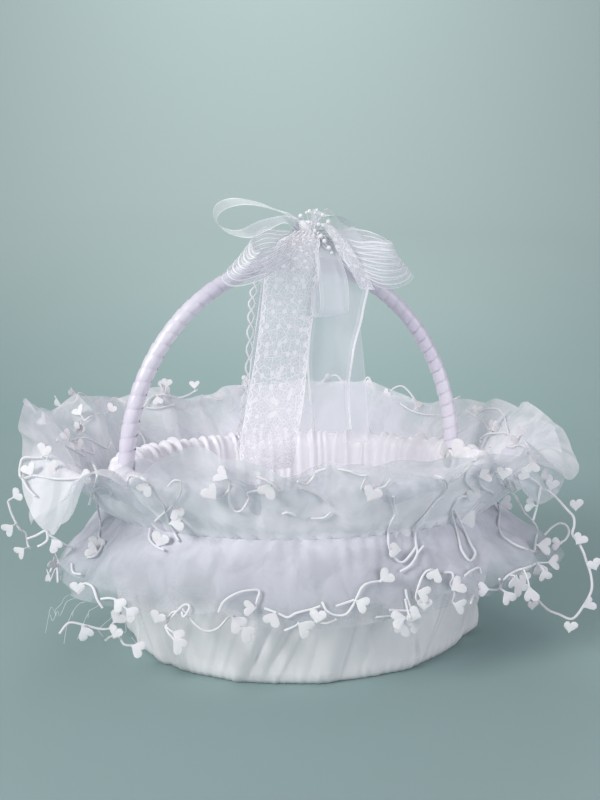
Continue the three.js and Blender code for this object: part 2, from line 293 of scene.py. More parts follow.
def chain_lace(name, width):
    """Edging: two cords that cross and part again, beside a ladder of fine threads."""
    material, tree, principled = new_material(name, Roughness=0.6, Sheen_Weight=0.25,
                                              Specular_IOR_Level=0.35)
    uv = cloth_uv(tree)
    split = add_node(tree, "ShaderNodeSeparateXYZ", {0: uv})
    across, along = split.outputs["X"], split.outputs["Y"]
    swing = calc(tree, "MULTIPLY", calc(tree, "SINE", calc(tree, "MULTIPLY", along, 3.7), 0.0), 0.2)
    inner = calc(tree, "ADD", across, width * 0.28)
    near = calc(tree, "ABSOLUTE", calc(tree, "SUBTRACT", inner, swing), 0.0)
    far = calc(tree, "ABSOLUTE", calc(tree, "ADD", inner, swing), 0.0)
    cords = calc(tree, "MAXIMUM", ramp(tree, near, 0.04, 0.09, 1.0, 0.0),
                 ramp(tree, far, 0.04, 0.09, 1.0, 0.0))
    rungs = ramp(tree, calc(tree, "SINE", calc(tree, "MULTIPLY", along, 30.0), 0.0), 0.2, 0.8, 0.1, 0.55)
    ladder = calc(tree, "MULTIPLY", rungs, ramp(tree, across, -width * 0.1, -width * 0.05))
    cover = calc(tree, "MAXIMUM", cords, ladder)
    tree.links.new(calc(tree, "MINIMUM", calc(tree, "ADD", cover, 0.06), 1.0), principled.inputs["Alpha"])
    tree.links.new(blend_colours(tree, cords, (0.84, 0.86, 0.91, 1), (0.98, 0.985, 1, 1)),
                   principled.inputs["Base Color"])
    bump(tree, principled, cords, 0.6, 0.0005)
    return material


def felt_trim(name, light, shade):
    material, tree, principled = new_material(name, Sheen_Weight=0.3, Specular_IOR_Level=0.35,
                                              Subsurface_Weight=0.12, Subsurface_Scale=0.002)
    place = object_place(tree)
    folds = placed_group(tree, CREASE, {"Vector": place, "Size": 120.0})
    weave = placed_group(tree, WEAVE, {"Vector": place, "Threads": 700.0})
    tree.links.new(blend_colours(tree, folds.outputs["Tone"], light, shade), principled.inputs["Base Color"])
    tree.links.new(ramp(tree, folds.outputs["Height"], 0.3, 0.7, 0.5, 0.68), principled.inputs["Roughness"])
    bump(tree, principled, calc(tree, "ADD", weave.outputs["Height"], folds.outputs["Height"]), 0.3, 0.0003)
    return material


def pearl_bead(name):
    material, tree, principled = new_material(name, Coat_Weight=0.8, Coat_Roughness=0.08,
                                              Specular_IOR_Level=0.7)
    place = object_place(tree)
    folds = placed_group(tree, CREASE, {"Vector": place, "Size": 300.0})
    tree.links.new(blend_colours(tree, folds.outputs["Tone"], (0.95, 0.93, 0.9, 1), (0.86, 0.86, 0.9, 1)),
                   principled.inputs["Base Color"])
    tree.links.new(ramp(tree, folds.outputs["Height"], 0.3, 0.7, 0.12, 0.24), principled.inputs["Roughness"])
    return material


def grained_wood(name, light, dark, size):
    material, tree, principled = new_material(name, Specular_IOR_Level=0.4)
    stretch = add_node(tree, "ShaderNodeMapping", {"Vector": object_place(tree), "Scale": (1, 1, 0.15)})
    grain = placed_group(tree, CREASE, {"Vector": stretch.outputs[0], "Size": size})
    tree.links.new(blend_colours(tree, grain.outputs["Height"], dark, light), principled.inputs["Base Color"])
    tree.links.new(ramp(tree, grain.outputs["Height"], 0.3, 0.7, 0.5, 0.75), principled.inputs["Roughness"])
    bump(tree, principled, grain.outputs["Height"], 0.4, 0.0005)
    return material


COVER_SATIN = satin_cloth("cover_satin", (0.87, 0.865, 0.875, 1), (0.83, 0.825, 0.85, 1), 0.33)
# painted light: the lining and floor cushion satin is a lighter copy of the cover satin, brightening the inside of
# the basket in place of more light there
LINING_SATIN_LIT = satin_cloth("lining_satin_painted_light", (0.93, 0.925, 0.96, 1), (0.88, 0.875, 0.92, 1), 0.34)
# painted shade: the handle ribbon is a darker, lilac-grey copy of the white satin, standing in for the lilac shade
# along the wrap
WRAP_SATIN_SHADED = satin_cloth("wrap_satin_painted_shade", (0.78, 0.76, 0.84, 1), (0.7, 0.67, 0.78, 1), 0.27, crease=70.0)
TULLE = sheer_net("bridal_tulle", 0.47, 0.86, 6.2, (0.96, 0.945, 0.97, 1))
# painted shade: the lower ruffle is a grey-lilac, much darker copy of the same white tulle, standing in for the
# shade under the upper ruffle
TULLE_LOWER_SHADED = sheer_net("bridal_tulle_lower_shaded", 0.22, 0.8, 4.7, (0.7, 0.705, 0.755, 1))
# painted shade: the under layer of the upper ruffle is a darker copy of the same white tulle, standing in for the
# shade between the two layers
TULLE_UNDER_SHADED = sheer_net("bridal_tulle_under_shaded", 0.36, 0.68, 5.6, (0.88, 0.88, 0.93, 1))
ORGANZA = edged_organza("organza", 3.5)
ORGANZA_CLEAR = edged_organza("organza_clear", 3.5, 0.08)
ORGANZA_SMALL = edged_organza("organza_small", 2.2, 0.3)
LACE = flowered_lace("flowered_lace", 3.6)
CORDED = corded_lace("corded_lace", 3.2)
CHAIN = chain_lace("chain_lace", 1.1)
TRIM = felt_trim("vine_trim", (0.9, 0.905, 0.92, 1), (0.84, 0.84, 0.87, 1))
HEART = felt_trim("heart_cloth", (0.88, 0.885, 0.895, 1), (0.8, 0.79, 0.82, 1))
PEARL = pearl_bead("pearl")
CANE = grained_wood("cane", (0.62, 0.46, 0.28, 1), (0.42, 0.29, 0.16, 1), 90.0)
BOARD = grained_wood("board", (0.56, 0.42, 0.26, 1), (0.38, 0.27, 0.15, 1), 40.0)


# ---------------------------------------------------------------- mesh helpers
def make_object(name, bm, material, smooth=True):
    mesh = bpy.data.meshes.new(name)
    bm.to_mesh(mesh)
    bm.free()
    for face in mesh.polygons:
        face.use_smooth = smooth
    piece = bpy.data.objects.new(name, mesh)
    bpy.context.scene.collection.objects.link(piece)
    mesh.materials.append(material)
    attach(piece, "root")
    return piece


def cloth(name, across, along, place, size, material, closed=False, flip=False):
    """A woven sheet: a grid laid out by place(u, v), with its own cloth map in centimetres."""
    bm = bmesh.new()
    uv = bm.loops.layers.uv.new("cloth")
    bmesh.ops.create_grid(bm, x_segments=across, y_segments=along, size=0.5)
    width, length = size
    for face in bm.faces:
        for loop in face.loops:
            co = loop.vert.co
            loop[uv].uv = (co.x * width * 100, (co.y + 0.5) * length * 100)
    for vert in bm.verts:
        vert.co = place(vert.co.x + 0.5, vert.co.y + 0.5) * MM
    if closed:
        bmesh.ops.remove_doubles(bm, verts=bm.verts, dist=1e-5)
    if flip:
        bmesh.ops.reverse_faces(bm, faces=bm.faces)
    return make_object(name, bm, material)


def smoothstep(a, b, x):
    t = min(max((x - a) / (b - a), 0.0), 1.0)
    return t * t * (3 - 2 * t)


def along_line(points, t):
    """Catmull-Rom through points, t from 0 to 1."""
    count = len(points) - 1
    f = min(max(t, 0.0), 1.0) * count
    k = min(int(f), count - 1)
    f -= k
    p1, p2 = points[k], points[k + 1]
    p0 = points[k - 1] if k else p1 * 2 - p2
    p3 = points[k + 2] if k + 2 <= count else p2 * 2 - p1
    return 0.5 * (2 * p1 + (p2 - p0) * f + (2 * p0 - 5 * p1 + 4 * p2 - p3) * f ** 2
                  + (3 * p1 - p0 - 3 * p2 + p3) * f ** 3)


def ring(angle, radius, height):
    return Vector((radius * math.cos(angle), radius * math.sin(angle) * DEPTH, height))


def wave_set(seed, low, high, count):
    """Periodic ripples round the basket with settled random phases."""
    rng = random.Random(seed)
    parts = [(rng.randint(low, high), rng.uniform(0, TURN), rng.uniform(0.5, 1.0)) for _ in range(count)]
    total = sum(p[2] for p in parts)
    return lambda a: sum(w * math.sin(n * a + p) for n, p, w in parts) / total * 1.6


def cord_curve(name, points, diameter, material, sides=3):
    return cord_curves(name, [points], diameter, material, sides)


def cord_curves(name, lines, diameter, material, sides=3):
    curve = bpy.data.curves.new(name, "CURVE")
    curve.dimensions = "3D"
    curve.bevel_depth = diameter / 2 * MM
    curve.bevel_resolution = sides
    curve.use_fill_caps = True
    for points in lines:
        spline = curve.splines.new("POLY")
        spline.points.add(len(points) - 1)
        for point, co in zip(spline.points, points):
            point.co = (*(co * MM), 1)
    curve.materials.append(material)
    piece = bpy.data.objects.new(name, curve)
    bpy.context.scene.collection.objects.link(piece)
    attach(piece, "root")
    return piece


# ---------------------------------------------------------------- body
def shell_radius(z):
    low, mid, top = (1.2, 109.7), (30.0, 115.6), (102.0, 121.8)
    a, b = (low, mid) if z < 30 else (mid, top)
    return a[1] + (z - a[0]) / (b[0] - a[0]) * (b[1] - a[1])


def fold_field(seed, count, width, lean, depth, crease=0.5):
    """Gathered cloth: rounded puffs, each with its own place, lean and depth, and a valley beside it."""
    rng = random.Random(seed)
    ridges = []
    for i in range(count):
        ridges.append(((i + rng.uniform(0.0, 1.0)) / count * TURN, rng.uniform(-lean, lean),
                       rng.uniform(*width), rng.uniform(0.3, 1.0) * depth,
                       rng.uniform(-0.2, 0.45), rng.uniform(0.5, 1.2)))

    def height(angle, v):
        total = 0.0
        for place, slope, wide, deep, start, stop in ridges:
            d = (angle - place - slope * (v - 0.5) + math.pi) % TURN - math.pi
            if abs(d) < 3.2 * wide:
                reach = smoothstep(start - 0.3, start + 0.15, v) * (1 - 0.8 * smoothstep(stop, stop + 0.35, v))
                total += deep * reach * (math.exp(-(d / wide) ** 2)
                                         - crease * math.exp(-abs(d - 1.15 * wide) / (0.3 * wide)))
        return total
    return height


def make_cover():
    broad = fold_field(11, 40, (0.045, 0.09), 0.5, 4.4, 0.6)
    narrow = fold_field(17, 70, (0.014, 0.03), 0.5, 1.3)
    fine = wave_set(3, 90, 150, 5)
    slow = wave_set(4, 5, 11, 4)

    def place(u, v):
        angle = u * TURN
        z = 0.35 + max(v - 0.04, 0) / 0.96 * 104.5
        out = 2.2 + broad(angle, v) + narrow(angle, v) + 0.6 * slow(angle)
        out += 0.5 * (1 + fine(angle)) * (1 - smoothstep(0.04, 0.16, v))
        tuck = smoothstep(0.03, 0.09, v)
        radius = shell_radius(max(z, 1.2)) + max(out, 0.4) * (0.45 + 0.55 * tuck)
        return ring(angle, radius - 9 * (1 - smoothstep(0.0, 0.04, v)), z)

    cover = cloth("satin_cover", 880, 46, place, (0.95, 0.11), COVER_SATIN, closed=True)
    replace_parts(cover, "outer_cover")


LINING_LINE = [Vector((102.2, 0, 12.8)), Vector((106.0, 0, 30)), Vector((109.2, 0, 64)),
               Vector((111.7, 0, 95)), Vector((112.9, 0, 103.5)), Vector((115.2, 0, 108.3)),
               Vector((118.8, 0, 110.4)), Vector((122.0, 0, 108.2)), Vector((123.2, 0, 101.5))]


def make_lining():
    pleats = fold_field(23, 92, (0.013, 0.03), 0.16, 3.3)
    rim_ripple = wave_set(8, 60, 96, 6)

    def place(u, v):
        angle = u * TURN
        base = along_line(LINING_LINE, v)
        ahead, behind = along_line(LINING_LINE, min(v + 0.02, 1)), along_line(LINING_LINE, max(v - 0.02, 0))
        tangent = (ahead - behind).normalized()
        normal = Vector((-tangent.z, 0, tangent.x))
        near_rim = smoothstep(0.35, 0.72, v)
        lift = 0.4 + pleats(angle, 0.3 + 0.4 * v) * (0.8 + 0.45 * near_rim)
        lift += near_rim * 0.8 * (1 + rim_ripple(angle))
        lift *= 1 - 0.6 * smoothstep(0.8, 1.0, v)
        p = base + normal * max(lift, -0.8)
        return ring(angle, p.x, p.z)

    lining = cloth("satin_lining_folds", 880, 52, place, (0.84, 0.128), LINING_SATIN_LIT, closed=True)
    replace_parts(lining, "satin_lining")


def make_floor_pad():
    bm = bmesh.new()
    bmesh.ops.create_circle(bm, cap_ends=True, cap_tris=False, segments=64, radius=0.096)
    bmesh.ops.scale(bm, vec=(1, DEPTH, 1), verts=bm.verts)
    bmesh.ops.translate(bm, vec=(0, 0, 0.0062), verts=bm.verts)
    solid = bmesh.ops.extrude_face_region(bm, geom=bm.faces[:])
    top = [v for v in solid["geom"] if isinstance(v, bmesh.types.BMVert)]
    bmesh.ops.translate(bm, vec=(0, 0, 0.005), verts=top)
    bmesh.ops.recalc_face_normals(bm, faces=bm.faces)
    pad = make_object("floor_cushion", bm, LINING_SATIN_LIT)
    remesh = pad.modifiers.new("even", "REMESH")
    remesh.mode, remesh.voxel_size = "VOXEL", 0.0032
    apply_modifiers(pad)
    swell(pad, 0.003)
    for face in pad.data.polygons:
        face.use_smooth = True
    finer = pad.modifiers.new("smooth", "SUBSURF")
    finer.levels = finer.render_levels = 1
    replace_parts(pad, "floor_pad")


def apply_modifiers(piece):
    depsgraph = bpy.context.evaluated_depsgraph_get()
    mesh = bpy.data.meshes.new_from_object(piece.evaluated_get(depsgraph))
    piece.modifiers.clear()
    piece.data = mesh


def swell(piece, cap):
    """Blows the pad up a little like a stuffed one, and holds each point to a small movement."""
    start = [v.co.copy() for v in piece.data.vertices]
    sim = piece.modifiers.new("swell", "CLOTH")
    sim.settings.use_pressure = True
    sim.settings.uniform_pressure_force = 4
    sim.settings.effector_weights.gravity = 0
    for step in range(1, 21):
        bpy.context.scene.frame_set(step)
    apply_modifiers(piece)
    for vert, old in zip(piece.data.vertices, start):
        move = vert.co - old
        if move.length > cap:
            vert.co = old + move.normalized() * cap
        vert.co.z = max(vert.co.z, 0.0058)
    bpy.context.scene.frame_set(1)


# ---------------------------------------------------------------- ruffle
def bulge(angle, centre, width):
    d = (angle - math.radians(centre) + math.pi) % TURN - math.pi
    return math.exp(-(d / math.radians(width)) ** 2)


# where the loose edges flop or stand up: degrees round, width, further out, higher
UPPER_LOBES = ((316, 15, 8, -26), (296, 5, 2, 4), (344, 8, -3, 3), (195, 12, 9, -46), (216, 6, 2, -6),
               (166, 9, 4, 9), (138, 7, 2, 5), (226, 6, -2, 7), (250, 8, 0, -5), (276, 6, 2, 4),
               (100, 9, 0, -6), (66, 8, 2, 6), (30, 7, 2, -7))
LOWER_LOBES = ((316, 16, 20, 10), (290, 7, -2, 2), (200, 12, 14, 4), (176, 9, 6, -3), (232, 6, -2, 4),
               (258, 7, 3, -2), (60, 10, 3, -3), (120, 9, 3, 3), (20, 8, 5, 4))


def loose_edge(angle, up):
    if up:
        radius = 173.0 - 25 * bulge(angle, 258, 38) - 4 * bulge(angle, 80, 50)
        height, flop = 138.5 + 7 * math.sin(angle), 0.0
    else:
        radius = 149.5 - 7 * bulge(angle, 258, 38)
        height, flop = 46 + 2.5 * math.sin(2 * angle + 1), 0.0
    for centre, width, out, rise in UPPER_LOBES if up else LOWER_LOBES:
        share = bulge(angle, centre, width)
        radius += out * share
        if rise < -12:
            flop += rise * share
        else:
            height += rise * share
    return radius, height, flop


STITCH_RADIUS = 126.2  # where both layers leave the tape
RIPPLES = {"upper": (12, 31, 0.3, 31), "upper_b": (15, 35, 1.9, 41), "lower": (13, 33, 0.9, 51),
           "lower_b": (16, 37, 2.6, 61)}
FINE = {key: wave_set(seed, 75, 115, 5) for key, (_, _, _, seed) in RIPPLES.items()}


def tulle_at(layer, angle, t):
    """Point of a ruffle layer: t is 0 at the stitched line and 1 at the loose edge."""
    up, under = layer.startswith("upper"), layer.endswith("_b")
    radius, height, flop = loose_edge(angle + (0.16 if under else 0.0), up)
    if under:
        radius, height = radius - 6, height - 5 if up else height + 6
    reach = radius - 125.6
    if up:
        line = [Vector((STITCH_RADIUS, 0, 87.4)), Vector((STITCH_RADIUS + reach * 0.24, 0, 99)),
                Vector((STITCH_RADIUS + reach * 0.6, 0, 99 + (height - 99) * 0.56)),
                Vector((radius, 0, height + flop))]
    else:
        line = [Vector((STITCH_RADIUS, 0, 86.6)), Vector((STITCH_RADIUS + reach * 0.34, 0, 76)),
                Vector((STITCH_RADIUS + reach * 0.74, 0, 76 - (76 - height) * 0.5)),
                Vector((radius, 0, height))]
    inner = min(t, 1.0)
    base = along_line(line, inner)
    tangent = (along_line(line, min(inner + 0.03, 1)) - along_line(line, max(inner - 0.03, 0))).normalized()
    if t > 1:
        base = base + tangent * (t - 1) * 62
    normal = Vector((tangent.z, 0, -tangent.x)) * (1 if up else -1)
    count, second, start, seed = RIPPLES[layer]
    phase = count * angle + 1.7 * math.sin(3 * angle + start) + 1.1 * math.sin(7 * angle + 2 * start)
    size = 0.55 + 0.45 * math.sin(4 * angle + 3 * start) * math.cos(9 * angle + start)
    other = second * angle + 1.8 * math.sin(5 * angle - start)
    grow = inner ** 1.15
    spot = ring(angle, base.x, base.z) * 0.028 + Vector((seed, 0, 0))
    cloud = noise.noise(spot) * 7.0 + noise.noise(spot * 2.7) * 2.6
    lift = 6.0 * grow * size * math.sin(phase) + 1.2 * inner ** 0.6 * math.sin(other) * (1.2 - size * 0.6)
    lift += cloud * (0.25 + 0.75 * grow) * smoothstep(0.0, 0.25, inner)
    lift += 0.7 * (1 - inner) ** 2 * FINE[layer](angle)
    lift = max(lift, -1.5 - 11 * inner) + (0.8 if up else 1.2)
    swing = (3.4 * grow * size * math.sin(2 * phase + 0.4) + 0.8 * grow * math.sin(2 * other)) / radius
    p = base + normal * lift
    return ring(angle + swing, p.x, p.z + 2.0 * grow * math.cos(phase * 0.5))


def make_ruffle():
    for layer, material, cut in (("upper", TULLE, (1.3, 0.062)), ("upper_b", TULLE_UNDER_SHADED, (1.3, 0.057)),
                                 ("lower", TULLE_LOWER_SHADED, (1.15, 0.047)),
                                 ("lower_b", TULLE_LOWER_SHADED, (1.15, 0.04))):
        piece = cloth(f"tulle_{layer}_layer", 900, 24, lambda u, v, k=layer: tulle_at(k, u * TURN, v), cut,
                      material, closed=True, flip=not layer.startswith("upper"))
        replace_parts(piece, "tulle_upper" if layer.startswith("upper") else "tulle_lower")


def make_tape():
    """Narrow tape under the stitched line of the ruffle, with its outer face a little puckered."""
    pucker = wave_set(64, 60, 110, 5)

    def place(u, v):
        height = 81.8 + 10.4 * v
        return ring(u * TURN, shell_radius(height) + 4.55 + 0.12 * pucker(u * TURN), height)

    tape = cloth("ruffle_tape", 360, 6, place, (0.76, 0.0104), COVER_SATIN, closed=True)
    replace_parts(tape, "gather_tape")


def make_underside():
    """Round of satin stretched flat under the base board."""
    def place(u, v):
        radius = 107.2 * max(v, 0.002)
        return ring(-u * TURN, radius, 0.12 + 0.08 * math.cos(u * TURN * 12) * (1 - v))

    under = cloth("underside_cloth", 96, 12, place, (0.19, 0.18), COVER_SATIN, closed=True)
    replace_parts(under, "underside_cover")


# ---------------------------------------------------------------- vines
def heart_shape(bm, matrix, size, sides=18):
    """One cut-out heart, a few dozen faces, dished a little."""
    made = bmesh.ops.create_circle(bm, cap_ends=True, cap_tris=False, segments=sides, radius=1.0)
    verts = made["verts"]
    for vert in verts:
        a = math.atan2(vert.co.x, vert.co.y)
        x = math.sin(a) ** 3
        y = (13 * math.cos(a) - 5 * math.cos(2 * a) - 2 * math.cos(3 * a) - math.cos(4 * a)) / 16
        vert.co = (x * 0.56, y * 0.52 + 0.52, 0)
    faces = list({f for v in verts for f in v.link_faces})
    top = bmesh.ops.extrude_face_region(bm, geom=faces)
    raised = [v for v in top["geom"] if isinstance(v, bmesh.types.BMVert)]
    bmesh.ops.translate(bm, vec=(0, 0, 0.06), verts=raised)
    both = verts + raised
    for vert in both:
        vert.co.z += 0.5 * (vert.co.x ** 2)
    bmesh.ops.scale(bm, vec=(size, size, size), verts=both)
    bmesh.ops.transform(bm, matrix=matrix, verts=both)


def hearts(name, places):
    """places: (point, pointing direction, facing direction, size) in millimetres."""
    bm = bmesh.new()
    for point, point_to, facing, size in places:
        y = point_to.normalized()
        z = (facing - y * facing.dot(y)).normalized()
        x = y.cross(z)
        matrix = Matrix.Translation(point * MM) @ Matrix((x, y, z)).transposed().to_4x4()
        heart_shape(bm, matrix, size * MM)
    bmesh.ops.recalc_face_normals(bm, faces=bm.faces)
    piece = make_object(name, bm, HEART)
    soften = piece.modifiers.new("edge", "BEVEL")
    soften.width, soften.segments, soften.limit_method = 0.00018, 2, "ANGLE"
    return piece


